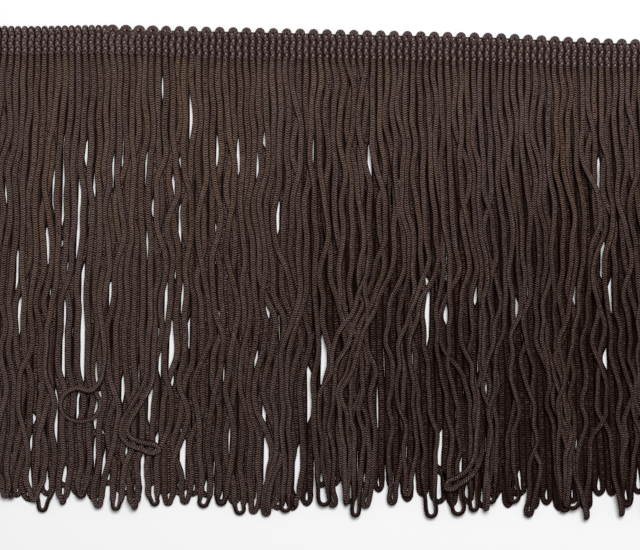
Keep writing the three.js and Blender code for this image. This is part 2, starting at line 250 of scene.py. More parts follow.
# How far the cords have drifted along X, by the rib's X, at five depths below the heading.
FLOW_DEPTHS = (0.0, 0.020, 0.050, 0.090, 0.140)
FLOW = (
    (-0.110, (0.0, 0.0, -0.0018, -0.0030, -0.0040)),
    (-0.085, (0.0, -0.0005, -0.0015, -0.0028, -0.0022)),
    (-0.070, (0.0, 0.0010, 0.0008, 0.0004, 0.0004)),
    (-0.050, (0.0, 0.0005, 0.0005, 0.0020, 0.0015)),
    (-0.025, (0.0, 0.0010, 0.0010, 0.0030, 0.0030)),
    (0.000, (0.0, 0.0010, 0.0015, 0.0035, 0.0050)),
    (0.020, (0.0, 0.0005, 0.0030, 0.0045, 0.0065)),
    (0.045, (0.0, 0.0005, 0.0040, 0.0065, 0.0090)),
    (0.080, (0.0, 0.0005, 0.0035, 0.0050, 0.0080)),
    (0.107, (0.0, 0.0005, 0.0030, 0.0050, 0.0080)),
)

# Slits where the surface shows between two cords, in millimetres: x, depth, width, length.
SLITS = (
    (-95, 68, 0.4, 8), (-94, 80, 0.6, 10), (-90, 106, 0.9, 7), (-90, 112, 0.7, 5),
    (-89, 134, 0.5, 6), (-87, 61, 0.6, 7), (-82, 117, 0.6, 14), (-80, 40, 0.7, 17),
    (-80, 79, 0.4, 10), (-80, 95, 0.7, 10), (-79, 70, 0.7, 9), (-79, 132, 0.6, 4),
    (-77, 57, 0.7, 10), (-76, 45, 0.8, 10), (-76, 111, 0.5, 7), (-75, 70, 0.9, 12),
    (-75, 92, 0.9, 16), (-74, 53, 0.6, 5), (-73, 35, 0.7, 8), (-73, 112, 0.6, 6),
    (-70, 110, 0.7, 6), (-68, 89, 0.7, 6), (-68, 97, 1.8, 11), (-68, 106, 1.2, 5),
    (-68, 119, 0.7, 8), (-67, 65, 0.5, 7), (-65, 76, 0.8, 8), (-64, 35, 0.6, 9),
    (-62, 35, 0.4, 12), (-60, 105, 0.4, 7), (-59, 126, 1.8, 9), (-54, 37, 0.4, 8),
    (-52, 130, 1.0, 6), (-51, 36, 0.8, 10), (-50, 11, 0.5, 5), (-49, 110, 1.2, 8),
    (-47, 77, 1.0, 9), (-46, 41, 0.8, 6), (-44, 36, 0.5, 6), (-44, 76, 0.6, 8),
    (-44, 94, 1.7, 13), (-43, 54, 0.6, 10), (-41, 20, 1.0, 20), (-40, 82, 0.7, 12),
    (-39, 126, 1.6, 10), (-36, 115, 1.0, 7), (-33, 58, 0.6, 8), (-20, 35, 0.6, 8),
    (-19, 28, 0.8, 5), (-18, 124, 1.6, 10), (-17, 111, 1.1, 7), (-16, 79, 0.7, 6),
    (-12, 50, 0.6, 8), (-8, 129, 1.3, 8), (-3, 31, 0.7, 9), (-1, 105, 1.2, 9),
    (0, 94, 1.5, 12), (23, 42, 0.5, 4), (34, 78, 1.2, 12), (36, 121, 0.8, 7),
    (39, 61, 0.6, 7), (39, 125, 0.7, 5), (41, 113, 0.6, 7), (43, 126, 0.8, 7),
    (51, 119, 0.5, 4), (52, 64, 0.5, 5), (52, 81, 0.5, 5), (61, 78, 0.6, 4),
    (62, 129, 0.5, 6), (79, 74, 0.4, 7), (84, 118, 0.5, 3), (87, 34, 0.4, 6),
    (89, 58, 0.5, 11), (90, 91, 0.6, 3), (92, 70, 0.7, 8), (98, 113, 0.6, 3),
)
MILLIMETRE = 0.001
SLIT_REACH = 0.62

# Small slits scattered beside those: tries at each pair, the legs over which they grow fewer,
# the middle and the spread of each measure, and the depths over which they grow narrower.
SMALL_SLIT_TRIES = 4
SMALL_SLIT_FEWER = (18, 54)
SMALL_SLIT_DEPTH = (0.080, 0.056)
SMALL_SLIT_WIDTH = (0.0005, 0.00025)
SMALL_SLIT_LENGTH = (0.006, 0.002)
SMALL_SLIT_NARROWER = (0.095, 0.120)
BESIDE_RIB = 0.001

# Loops that cross over their neighbours, one or two together: between which depths, how far.
BUNDLES = (
    {"loops": (29, 30), "start": 0.058, "end": 0.112, "shift": -0.017},
    {"loops": (33,), "start": 0.058, "end": 0.090, "shift": -0.009},
    {"loops": (26,), "start": 0.064, "end": 0.096, "shift": 0.0065},
    {"loops": (38,), "start": 0.070, "end": 0.112, "shift": -0.0060},
    {"loops": (41,), "start": 0.082, "end": 0.122, "shift": 0.0050},
    {"loops": (44,), "start": 0.056, "end": 0.105, "shift": -0.0055},
    {"loops": (47,), "start": 0.078, "end": 0.122, "shift": 0.0060},
    {"loops": (49,), "start": 0.050, "end": 0.092, "shift": 0.0045},
    {"loops": (24,), "start": 0.062, "end": 0.096, "shift": -0.0060},
)
BUNDLE_RISE = 0.028

# A loop that lies as a ring on its neighbours, and the cord's way into the ring and out of it.
RING = {"loop": 9, "leaves": 0.082, "x": -0.074, "y": -0.0427, "rx": 0.0062, "ry": 0.0052}
RING_START = math.radians(35)
RING_TURN = math.radians(290)
RING_POINTS = 14
RING_IN = ((-0.0012, 0.0045),)
RING_OUT = ((-0.0014, 0.0016), (0.0012, 0.0046), (0.0020, 0.0085))

# How a stray loop leaves its lane, and how its cord lies curled on the others.
LETS_GO = (0.018, 0.008)
GONE_BELOW = 0.002
CURLED_HALF = 0.00085
LAID_REACH = 0.0007
LAID_SINK = 0.00010

# Loops that lie bent on their neighbours: the middle line between their two legs.
BENT = (
    {
        "loop": 13,
        "leaves": 0.096,
        "middle": ((-0.0528, -0.0345), (-0.0550, -0.0395), (-0.0577, -0.0440), (-0.0597, -0.0478),
                   (-0.0602, -0.0512), (-0.0582, -0.0538), (-0.0545, -0.0551), (-0.0500, -0.0562)),
    },
    {
        "loop": 36,
        "leaves": 0.106,
        "middle": ((0.0510, -0.0500), (0.0505, -0.0560), (0.0485, -0.0605), (0.0450, -0.0635),
                   (0.0415, -0.0655)),
    },
)
BENT_HALF = 0.00115
BENT_TIP = 0.0011

# The second layer: thick under the lifted right half, thin and pressed flat under the left.
UNDER_FIRST_RIB = 46
UNDER_LOOPS = 29
UNDER_LOOPS_LEFT = 23
UNDER_TONE_LEFT = 1.0
UNDER_LONGER_LEFT = 0.0015
UNDER_THIN = 0.00060
UNDER_LEFT_LIFT = 0.00040
UNDER_DROP = 0.1388
UNDER_DROP_SPREAD = 0.0034
UNDER_SWAY = 0.0004
UNDER_WAVE = 0.05
UNDER_HALF = 0.00130
UNDER_END_HALF = 0.00085
UNDER_TAPER = (0.011, 0.003)
UNDER_LAST_POINTS = (0.006, 0.004)
UNDER_TIP = 0.0012
UNDER_PARTED = 0.00018
UNDER_PARTED_SHARE = 0.40
UNDER_PARTED_LEAST = 0.00022
UNDER_RING_STEP = 0.0018

# The first of the numbers that each kind of cord has for its scatter.
UNDER_NUMBERS = 200
UNDER_LEG_NUMBERS = 300
RIB_NUMBERS = 500
ARCH_NUMBERS = 700
STITCH_NUMBERS = 1000

# How much darker the yarn is drawn: by depth, and in the lower fringe by X, most at the right; and
# painted shade under other cords.
DEEPEST = 0.90
SHADE_DOWN = (0.005, 0.100)
SHADE_LOWER = (0.0, 0.070)
SHADE_UNDER = (0.010, 0.050)
SHADED_X = (-0.060, -0.030, 0.030, 0.070)
SHADED = (0.0, 0.45, 0.45, 1.0)
CORD_LEVEL = 0.0010
DARK_WAVE = 0.09

# The yarn's warmth, which is lost down the fringe and is greatest at the left.
COOL_FROM = (0.030, 0.120)
WARM_TO_X = (-0.080, 0.000)
WARM_WAVE = 0.07

# The knit: the slant and the unevenness of its rows, its relief, and where each cord's begins.
KNIT_SLANT = 2.2
KNIT_UNEVEN = 1.2
KNIT_RELIEF = 0.00020
KNIT_START = 0.01

# The floor, the soft light and the camera's frame, in metres but for the frame's millimetres.
FLOOR_REACH = 3.0
KEY_SIZE = 0.45
KEY_PLACE = (0.10, 0.30, 0.85)
KEY_TURN = (math.radians(-17), math.radians(6), 0)
SENSOR_WIDTH = 36.0
CLIP_START = 0.01

TAU = 2 * math.pi


class FringeSizes(bpy.types.PropertyGroup):
    """Sizes of the heading and the loops."""

    rib_pitch: bpy.props.FloatProperty(
        name="Rib pitch", description="From one rib of the heading to the next",
        default=0.0021, unit="LENGTH", precision=5)
    cord_width: bpy.props.FloatProperty(
        name="Cord width", description="Across the flat of a knitted cord",
        default=0.0021, unit="LENGTH", precision=5)
    cord_thickness: bpy.props.FloatProperty(
        name="Cord thickness", description="Through the flat of a knitted cord",
        default=0.0013, unit="LENGTH", precision=5)
    drop: bpy.props.FloatProperty(
        name="Drop", description="From the heading's foot to the tip of a loop",
        default=0.1395, unit="LENGTH", precision=5)
    drop_spread: bpy.props.FloatProperty(
        name="Drop spread", description="How far a loop may be longer or shorter",
        default=0.0034, unit="LENGTH", precision=5)
    knit_pitch: bpy.props.FloatProperty(
        name="Knit pitch", description="From one knitted row of a cord to the next",
        default=0.00072, unit="LENGTH", precision=5)
    stitch: bpy.props.FloatProperty(
        name="Stitch", description="Length of one stitch across the heading's ribs",
        default=0.00065, unit="LENGTH", precision=5)


class FringeColours(bpy.types.PropertyGroup):
    """Colours of the yarns and of the floor."""

    yarn: bpy.props.FloatVectorProperty(
        name="Yarn", description="The cords' middle brown",
        default=(0.184, 0.130, 0.123), subtype="COLOR", min=0, max=1)
    heading_yarn: bpy.props.FloatVectorProperty(
        name="Heading yarn", description="The brown of the heading's ribs and domes",
        default=(0.178, 0.121, 0.115), subtype="COLOR", min=0, max=1)
    warm_yarn: bpy.props.FloatVectorProperty(
        name="Warm yarn", description="The brown of the warmer cords",
        default=(0.220, 0.139, 0.103), subtype="COLOR", min=0, max=1)
    # Painted shade: the near-black drawn in the creases between the knitted rows and in the
    # hollows of the band's weave.
    painted_crease_shade: bpy.props.FloatVectorProperty(
        name="Crease", description="Between the knitted rows",
        default=(0.0076, 0.0019, 0.0011), subtype="COLOR", min=0, max=1)
    # A little darker than the yarn: painted shade of the second layer under the front loops; the
    # band's cloth is drawn in it too.
    under_yarn: bpy.props.FloatVectorProperty(
        name="Under yarn", description="The cords of the second layer",
        default=(0.168, 0.118, 0.111), subtype="COLOR", min=0, max=1)
    # The thread's own lighter colour, with a painted highlight on its shiny strands.
    stitch: bpy.props.FloatVectorProperty(
        name="Stitch thread", description="The thread across the heading's ribs",
        default=(0.28, 0.225, 0.20), subtype="COLOR", min=0, max=1)
    floor: bpy.props.FloatVectorProperty(
        name="Floor", description="The plain pale floor",
        default=(0.725, 0.725, 0.725), subtype="COLOR", min=0, max=1)


class FringeStage(bpy.types.PropertyGroup):
    """Camera and light."""

    camera_height: bpy.props.FloatProperty(
        name="Camera height", description="Above the surface that the trim lies on",
        default=0.60, unit="LENGTH")
    camera_y: bpy.props.FloatProperty(
        name="Camera place",
        description="How far the camera stands from the trim's middle towards the heading",
        default=-0.0005, unit="LENGTH", precision=4)
    view_width: bpy.props.FloatProperty(
        name="View width", description="Width of the trim that the picture shows",
        default=0.2010, unit="LENGTH", precision=4)
    camera_roll: bpy.props.FloatProperty(
        name="Camera roll", description="Turn of the camera about its line of sight",
        default=math.radians(1.25), subtype="ANGLE")
    sky: bpy.props.FloatProperty(
        name="Sky light", description="Strength of the even light all round", default=0.28)
    key_power: bpy.props.FloatProperty(
        name="Key light", description="Power of the soft light above the heading", default=10.0,
        unit="POWER")


class Shade:
    """A socket of a material's nodes that can be used in Python expressions."""

    def __init__(self, finish, socket):
        self.finish = finish
        self.socket = socket

    def _math(self, operation, *values):
        return self.finish.node(
            "ShaderNodeMath", {"operation": operation}, dict(enumerate(values)))

    def __add__(self, other):
        return self._math("ADD", self, other)

    __radd__ = __add__

    def __sub__(self, other):
        return self._math("SUBTRACT", self, other)

    def __rsub__(self, other):
        return self._math("SUBTRACT", other, self)

    def __mul__(self, other):
        return self._math("MULTIPLY", self, other)

    __rmul__ = __mul__

    def __truediv__(self, other):
        return self._math("DIVIDE", self, other)

    def __rtruediv__(self, other):
        return self._math("DIVIDE", other, self)

    def __abs__(self):
        return self._math("ABSOLUTE", self)

    def sine(self):
        return self._math("SINE", self)

    def smooth(self, start, end):
        """0 below start and 1 above end, with a soft step between."""
        return self.finish.node(
            "ShaderNodeMapRange", {"interpolation_type": "SMOOTHSTEP"},
            {"Value": self, "From Min": start, "From Max": end})


class Finish:
    """A procedural material and the nodes that it is made of."""

    def __init__(self, name):
        self.material = bpy.data.materials.new(name)
        self.material.use_nodes = True
        self.nodes = self.material.node_tree.nodes
        self.links = self.material.node_tree.links
        self.shader = self.nodes["Principled BSDF"]

    def node(self, kind, settings=None, sockets=None, out=0):
        """Adds a node, sets its settings, then its sockets' values or links; gives one output."""
        node = self.nodes.new(kind)
        for key, value in (settings or {}).items():
            setattr(node, key, value)
        for key, value in (sockets or {}).items():
            self.put(node.inputs[key], value)
        return Shade(self, node.outputs[out])

    def put(self, socket, value):
        if isinstance(value, Shade):
            self.links.new(value.socket, socket)
        else:
            socket.default_value = value

    def attribute(self, name):
        return self.node("ShaderNodeAttribute", {"attribute_name": name}, out="Fac")

    def mix(self, factor, first, second):
        """A mix of two colours; the sockets go by number, because their names repeat."""
        return self.node(
            "ShaderNodeMix", {"data_type": "RGBA"}, {0: factor, 6: first, 7: second}, out=2)

    def surface(self, **sockets):
        for name, value in sockets.items():
            self.put(self.shader.inputs[name.replace("_", " ")], value)
        return self.material


def colour(value):
    return (*value, 1.0)


def knitted_cord(name, yarn, warm, painted_crease_shade, sizes, soft=0.0, shaded_sides=(0.18, 0.42)):
    """Knitted cord: chevrons along both faces, a seam between their columns, uneven dye, and
    painted shade in the creases and on the sides.

    The rows are blunter the larger soft is; the two values for the sides are where the painted
    shade on the cord's sides begins and where it is full.
    """
    finish = Finish(name)
    along = finish.attribute("along")
    across = 0.5 - abs(abs(finish.attribute("around")) - 0.5)
    mottle = finish.node("ShaderNodeTexNoise", None, {"Scale": 900.0, "Detail": 2.0})
    pull = finish.node("ShaderNodeTexNoise", None, {"Scale": 260.0, "Detail": 1.0})
    darkening_and_shade = finish.attribute("darkening_and_shade")
    row = ((along / sizes.knit_pitch + across * KNIT_SLANT + pull * KNIT_UNEVEN) * TAU).sine()
    # Narrower ridges, and so a darker cord, where the cord is drawn darker; part of that is
    # painted shade under other cords.
    ridge = row.smooth(darkening_and_shade * 1.75 - 0.76 - soft, 0.95)
    seam = across.smooth(0.0, 0.13)
    height = ridge * (0.60 + 0.40 * seam)
    # Painted shade: the sides of the cord darkened where it meets its neighbours.
    painted_light = 1.0 - 0.88 * across.smooth(*shaded_sides)
    dye = finish.mix(finish.attribute("tone"), colour(yarn), colour(warm))
    # Painted shade: the creases between the knitted rows drawn in the crease colour.
    knit = finish.mix(height * painted_light * (0.55 + 0.9 * mottle), colour(painted_crease_shade), dye)
    # Darker down the fringe, at the lower right and at random for each cord, and painted shade
    # under other cords, all mixed towards the crease colour.
    darkened_and_shaded_knit = finish.mix(darkening_and_shade * 0.48, knit, colour(painted_crease_shade))
    bump = finish.node(
        "ShaderNodeBump", None, {"Strength": 0.8, "Distance": KNIT_RELIEF, "Height": height})
    return finish.surface(
        Base_Color=darkened_and_shaded_knit, Roughness=0.85 - 0.15 * height, Normal=bump, Specular_IOR_Level=0.03)


def scatter(cord, purpose):
    """A fixed scatter between -1 and 1 for each cord; each use has a purpose of its own."""
    wave = np.sin(np.asarray(cord, float) * 12.9898 + purpose * 78.233) * 43758.5453
    return 2 * (wave - np.floor(wave)) - 1


def about(middle, spread, cord, purpose):
    """A scattered value, up to the spread above or below a middle."""
    return middle + spread * float(scatter(cord, purpose))


def step(value, start, end):
    """0 below start and 1 above end, with a soft step between."""
    t = np.clip((np.asarray(value, float) - start) / (end - start), 0, 1)
    return t * t * (3 - 2 * t)


def blend(first, second, share):
    """From the first value to the second, by a share between 0 and 1."""
    return first + (second - first) * share


def columns(*values):
    """Points as rows, one column from each value; a single number goes to every point."""
    return np.column_stack(np.broadcast_arrays(*values))


def ripple(cord, depth, purpose, wave):
    """A slow uneven wave along a cord, between about -1 and 1."""
    slow = np.sin(TAU * depth / wave + math.pi * scatter(cord, purpose))
    quick = np.sin(TAU * depth / (0.61 * wave) + math.pi * scatter(cord, purpose + 0.5))
    return 0.6 * slow + 0.4 * quick


def rib_x(rib, sizes):
    return FIRST_RIB_X + np.asarray(rib) * sizes.rib_pitch


def bow(x):
    return BOW_HEIGHT * step(x, *BOW_FROM) * (1 - step(x, *BOW_TO))


def foot_y(x):
    """The heading's foot: higher at the left, where the heading is rolled back a little."""
    return FOOT_Y + bow(x) + ROLLED_BACK * (1 - step(x, *ROLLED_BACK_TO))


def depth_y(x, depth, sizes):
    """Y at a depth below the foot, measured so that all tips of one drop lie level."""
    return blend(FOOT_Y, foot_y(x), 1 - depth / sizes.drop) - depth


def legs_of(loop):
    """The two legs of a front loop."""
    return slice(2 * loop, 2 * loop + 2)


def flow(x, depth):
    drifts = [np.interp(depth, FLOW_DEPTHS, drift) for _, drift in FLOW]
    return np.interp(x, [place for place, _ in FLOW], drifts)


def wander(leg, depth, sizes):
    """Each cord wanders by itself, and the two legs of a loop wander together."""
    own = WANDER_OWN * scatter(leg, 1)
    wave = WANDER_WAVE * np.sin(depth / WAVE_DEPTH + 3 * scatter(leg, 2))
    shared = WANDER_SHARED * scatter(np.asarray(leg) // 2, 3)
    return depth / sizes.drop * (own + wave + shared)


def bunches():
    """A number for each leg that it shares with the neighbours that sway with it."""
    return np.cumsum(scatter(np.arange(LEGS), 50) > 0.25)


def sway(x, leg, depth):
    """Slow waves down the fringe, shared by many cords, by a bunch, or of one cord alone."""
    together = sum(np.sin(TAU * (depth / down + x / along)) for down, along in SHARED_WAVES)
    reach = blend(SWAY, SWAY_RIGHT, step(x, *RIGHT_X))
    bunch = bunches()
    shared = 1.1 * ripple(bunch, depth, 16, BUNCH_WAVE)
    shared = shared + 0.4 * ripple(bunch, depth, 51, BUNCH_RIPPLE)
    own = 1.2 * ripple(leg, depth, 17, CORD_WAVE)
    own = own + 0.55 * step(depth, *CORD_RIPPLE_FROM) * ripple(leg, depth, 18, CORD_RIPPLE)
    return reach * step(depth, *SWAY_FROM) * (0.2 * together + shared + own)


def spaced(wishes, least):
    """Ordered places no nearer than the least spacings, each as near its wish as may be."""
    offset = np.concatenate([[0], np.cumsum(least)])
    blocks = []
    for wish in wishes - offset:
        blocks.append([wish, 1])
        while len(blocks) > 1 and blocks[-2][0] / blocks[-2][1] > blocks[-1][0] / blocks[-1][1]:
            total, count = blocks.pop()
            blocks[-1][0] += total
            blocks[-1][1] += count
    return np.concatenate([np.full(count, total / count) for total, count in blocks]) + offset


def closed(wishes, most, pull):
    """Draws neighbours together over gaps wider than the most, harder where the pull is larger."""
    places = np.array(wishes)
    for _ in range(CLOSING_TURNS):
        over = np.maximum(np.diff(places) - most, 0) * pull
        places[:-1] += over
        places[1:] -= over
    return places


def all_slits(ribs):
    """Every slit as x, depth, width and length: those of the table, and small scattered ones."""
    slits = [np.multiply(slit, MILLIMETRE) for slit in SLITS]
    for pair in range(LEGS - 1):
        for turn in range(SMALL_SLIT_TRIES):
            if scatter(pair, 30 + turn) > 0.50 + 0.37 * step(pair, *SMALL_SLIT_FEWER):
                depth = about(*SMALL_SLIT_DEPTH, pair, 34 + turn)
                x = ribs[pair] + flow(ribs[pair], depth) + BESIDE_RIB
                width = about(*SMALL_SLIT_WIDTH, pair, 54 + turn)
                width = width * (1 - 0.7 * step(depth, *SMALL_SLIT_NARROWER))
                slits.append((x, depth, width, about(*SMALL_SLIT_LENGTH, pair, 58 + turn)))
    return slits


def slit_widths(depths, ribs):
    """How far each pair of neighbouring legs is pushed apart at each depth."""
    widths, parted = np.zeros((2, len(depths), LEGS - 1))
    for x, depth, width, length in all_slits(ribs):
        pair = int(np.searchsorted(ribs + flow(ribs, depth), x)) - 1
        if 0 <= pair < LEGS - 1:
            shape = np.clip(1 - ((depths - depth) / (SLIT_REACH * length)) ** 2, 0, 1)
            widths[:, pair] = np.maximum(widths[:, pair], width * shape)
            parted[:, pair] = np.maximum(parted[:, pair], step(shape, 0, 0.3))
    return widths, parted


def crossings(depths, keeps):
    """Where neighbouring cords change places.

    Gives how near each pair draws for it and the leg that is in each lane, at each depth.
    """
    narrow = np.ones((len(depths), LEGS - 1))
    order = np.tile(np.arange(LEGS), (len(depths), 1))
    changes = []
    for pair in range(LEGS - 1):
        one_loop = pair % 2 == 0
        for turn in range(1 if one_loop else CROSSING_TURNS):
            first = about(CROSSING_FIRST + CROSSING_PITCH * turn, CROSSING_SPREAD, pair, 61 + turn)
            tangled = turn == CROSSING_TURNS - 1 and pair < TANGLED_LEGS
            for_good = one_loop or tangled and scatter(pair, 72) > 0.4
            places = (first,) if for_good else (first, first + CROSSED_FOR)
            if one_loop:
                places = (first + OWN_LOOP_LOWER,)
            after = depths > places[0] - CROSSING
            meets = after & (depths < places[-1] + CROSSING)
            away = after if for_good else meets
            beside = slice(max(pair - 1, 0), pair + 2)
            free = keeps[away, pair:pair + 2].min() > 0.8 and narrow[meets, beside].min() == 1
            seldom = 0.25 + 0.30 * step(pair, *CROSSING_RARER) - 0.5 * tangled
            if free and scatter(pair, 66 + turn) > seldom:
                for place in places:
                    passed = step(depths, place - CROSSING, place + CROSSING)
                    narrow[:, pair] *= np.abs(1 - 2 * passed)
                    changes.append((place, pair))
    for place, pair in sorted(changes):
        below = depths > place
        order[below, pair:pair + 2] = order[below, pair:pair + 2][:, ::-1]
    return narrow, order


def drop_of(loop, sizes):
    left = 1 - float(step(rib_x(2 * loop, sizes), *LONGER_X))
    spread = sizes.drop_spread * (1 - 0.3 * left)
    return about(sizes.drop + LONGER_LEFT * left, spread, loop, 4)


def leavers(depths, sizes):
    """The legs that leave their lanes, at each depth.

    Gives what each leg keeps of its lane, how far it lies over its neighbours, and where it is.
    """
    keeps = np.ones((len(depths), LEGS))
    moves = np.zeros((len(depths), LEGS))
    there = np.ones((len(depths), LEGS), bool)
    busy = set()
    for stray in (RING, *BENT):
        legs, leaves = legs_of(stray["loop"]), stray["leaves"]
        keeps[:, legs] = 1 - step(depths, leaves - LETS_GO[0], leaves + LETS_GO[1])[:, None]
        there[:, legs] = depths[:, None] < leaves + GONE_BELOW
        busy.add(stray["loop"])
    for bundle in BUNDLES:
        start = bundle["start"]
        for loop in bundle["loops"]:
            legs = legs_of(loop)
            keeps[:, legs] = 1 - step(depths, start, start + BUNDLE_RISE)[:, None]
            moves[:, legs] = bundle["shift"] * step(depths, start, bundle["end"])[:, None]
            busy.add(loop)
    for leg in range(LEGS):
        right = float(step(rib_x(leg, sizes), *STRAYING_X))
        for turn in OVER_TURNS:
            if leg // 2 not in busy and scatter(leg, 40 + turn) > 0.80 - 0.55 * right:
                start = about(OVER_FIRST + OVER_LATER * turn, OVER_SPREAD, leg, 41 + turn)
                length = about(*OVER_LENGTH, leg, 42 + turn)
                bump = np.sin(math.pi * np.clip((depths - start) / length, 0, 1)) ** 2
                keeps[:, leg] *= 1 - np.minimum(1, 1.8 * bump)
                side = 1 if scatter(leg, 44 + turn) > 0.25 else -1
                moves[:, leg] += side * about(*OVER_SHIFT, leg, 43 + turn) * bump
    for loop in range(LOOPS):
        right = float(step(rib_x(2 * loop, sizes), *LOOSE_X))
        foot = drop_of(loop, sizes)
        legs = legs_of(loop)
        lean = (FOOT_LEAN + FOOT_LEAN_RIGHT * right) * float(scatter(loop, 23))
        if loop not in busy and scatter(loop, 25) > 0.85 - 0.60 * right:
            lean += FOOT_LEAN_OVER * float(np.sign(scatter(loop, 26)))
            free = step(depths, foot - FOOT_FREE[0], foot - FOOT_FREE[1])
            keeps[:, legs] *= 1 - 0.92 * free[:, None]
        leans_from = foot - FOOT_LEAN_LENGTH - FOOT_LEAN_LENGTH_RIGHT * right
        moves[:, legs] += lean * step(depths, leans_from, foot)[:, None]
        if right > 0.5 and scatter(loop, 24) > 0.3:
            twist = FOOT_TWIST * step(depths, foot - FOOT_TWIST_FROM[0], foot - FOOT_TWIST_FROM[1])
            moves[:, 2 * loop] += twist
            moves[:, 2 * loop + 1] -= twist
        for leg in (2 * loop, 2 * loop + 1):
            curl = (CURL + CURL_RIGHT * right) * ripple(leg, depths, 28, CURL_WAVE)
            moves[:, leg] += curl * step(depths, *CURL_FROM)
    return keeps, moves, there


def smoothed(table, turns):
    """A table by depth with its sharp changes down the cords taken off."""
    for _ in range(turns):
        table[1:-1] = (table[:-2] + 2 * table[1:-1] + table[2:]) / 4
    return table


def lay_front(depths, keeps, narrow, sizes):
    """X of every lane at every depth, with and without the legs that have left theirs."""
    legs = np.arange(LEGS)
    ribs = rib_x(legs, sizes)
    slits, parted = slit_widths(depths, ribs)
    lanes, homes = np.empty_like(keeps), np.empty_like(keeps)
    left = 1 - step(ribs, *LEFT_X)
    tighter = 1 - step(ribs[:-1], *TIGHTER_X)
    bunch = bunches()
    middle = (np.bincount(bunch, ribs) / np.maximum(np.bincount(bunch), 1))[bunch]
    gathered = (middle - ribs) * blend(GATHER, GATHER_RIGHT, step(ribs, *GATHER_X))
    pull = blend(PULL_RIGHT, PULL, tighter)
    near = blend(SQUEEZE, SQUEEZE_RIGHT, step(ribs[:-1], *RIGHT_X))
    near = np.where(np.diff(bunch) > 0, SQUEEZE_EDGE, near)
    for row, depth in enumerate(depths):
        lean = (LOOP_LEAN + LOOP_LEAN_LEFT * left) * scatter(legs // 2, 27)
        lean = lean * step(depth, sizes.drop - LOOP_LEAN_LENGTH, sizes.drop)
        lean = lean + left * LEAN_LEFT * scatter(bunch, 52) * step(depth, *LEAN_LEFT_FROM)
        gather = gathered * step(depth, *GATHER_FROM)
        wishes = (ribs + flow(ribs, depth) + wander(legs, depth, sizes) + sway(ribs, legs, depth)
                  + lean + gather)
        close = near - SQUEEZE_LOWER * left[:-1] * step(depth, *LOWER)
        least = blend(sizes.rib_pitch, close, step(depth, *SQUEEZED_FROM))
        least = blend(least, GAP_MOST, parted[row]) + slits[row]
        share = (keeps[row, :-1] + keeps[row, 1:]) / 2 * narrow[row]
        homes[row] = spaced(wishes, least)
        most = GAP_MOST - GAP_LESS_LOWER * tighter * step(depth, *LOWER)
        most = most + GAP_MORE_RIGHT * (1 - 0.5 * tighter) * step(depth, *GATHER_FROM)
        lanes[row] = spaced(closed(wishes, (most + slits[row]) * share, pull), least * share)
    return lanes, homes


def half_widths(depths, lanes, keeps, sizes):
    """Half the width of every leg, and the shift of its middle: cords spread into free room."""
    right_half = step(rib_x(np.arange(LEGS), sizes), *RIGHT_X)
    lower = step(depths, *SLIMMER)[:, None]
    slim = blend(SLIM_LEFT, 1, right_half)
    half = sizes.cord_width / 2 * (1 - 0.13 * slim + lower * (0.06 - 0.20 * slim))
    root = step(depths, *ROOT_WIDENS)[:, None]
    room = np.diff(lanes, axis=1) / np.maximum(keeps[:, :-1] + keeps[:, 1:], 0.05)

    def fit(share, own, loose):
        most = (1.24 - 0.12 * loose) * own
        snug = np.clip((1.04 - 0.07 * loose) * share, 0.92 * own, most)
        return np.where(share > most, (1.14 - 0.08 * loose) * own, snug)

    right = np.concatenate([fit(room, half[:, :-1], slim[:-1]), half[:, -1:]], axis=1)
    left = np.concatenate([half[:, :1], fit(room, half[:, 1:], slim[1:])], axis=1)
    wide = keeps * (left + right) / 2 + (1 - keeps) * 0.95 * half
    return blend(ROOT_HALF, wide, root), keeps * (right - left) / 2 * root


def stacked(depths, xs, half, keeps, there, sizes):
    """The underside and the tilt of every front leg by depth, each lying on those below it."""
    legs = np.arange(LEGS)
    lifted = step(rib_x(legs, sizes), *LIFTED_X)
    order = 0.7 * scatter(bunches(), 19) + 0.3 * scatter(legs, 20)
    through = 0.90 * sizes.cord_thickness
    low, tilt = np.empty_like(xs), np.zeros_like(xs)
    for row, depth in enumerate(depths):
        settled = float(step(depth, 0, SETTLE_DEPTH))
        level = lifted * blend(ROOT_LIFT, LIFT, settled)
        level = level + ROOT_RAISED * (1 - step(depth, 0, ROOT_RAISED_TO))
        level = level + (1 - lifted) * UNDER_LEFT_LIFT * settled
        uneven = (UNEVEN + UNEVEN_RIGHT * lifted) * settled
        level = level + uneven * (1 + ripple(legs, depth, 8, UNEVEN_WAVE))
        placed = np.empty(0, int)
        for leg in np.argsort(order + 4 * (1 - keeps[row])):
            side = xs[row, placed] - xs[row, leg]
            apart = np.abs(side) / (0.85 * (half[row, placed] + half[row, leg]))
            over = level[placed] + through * np.sqrt(np.maximum(1 - apart**2, 0))
            held = np.where(apart < 1, over, 0)
            if len(placed) and held.max() > level[leg]:
                right = max(held[side > 0].max(initial=0), level[leg])
                left = max(held[side <= 0].max(initial=0), level[leg])
                tilt[row, leg] = np.clip(0.30 * (right - left) / TILTING_STEP, -0.5, 0.5)
                level[leg] = held.max()
            if there[row, leg]:
                placed = np.append(placed, leg)
        low[row] = level
    return smoothed(low, 3), smoothed(tilt, 3)


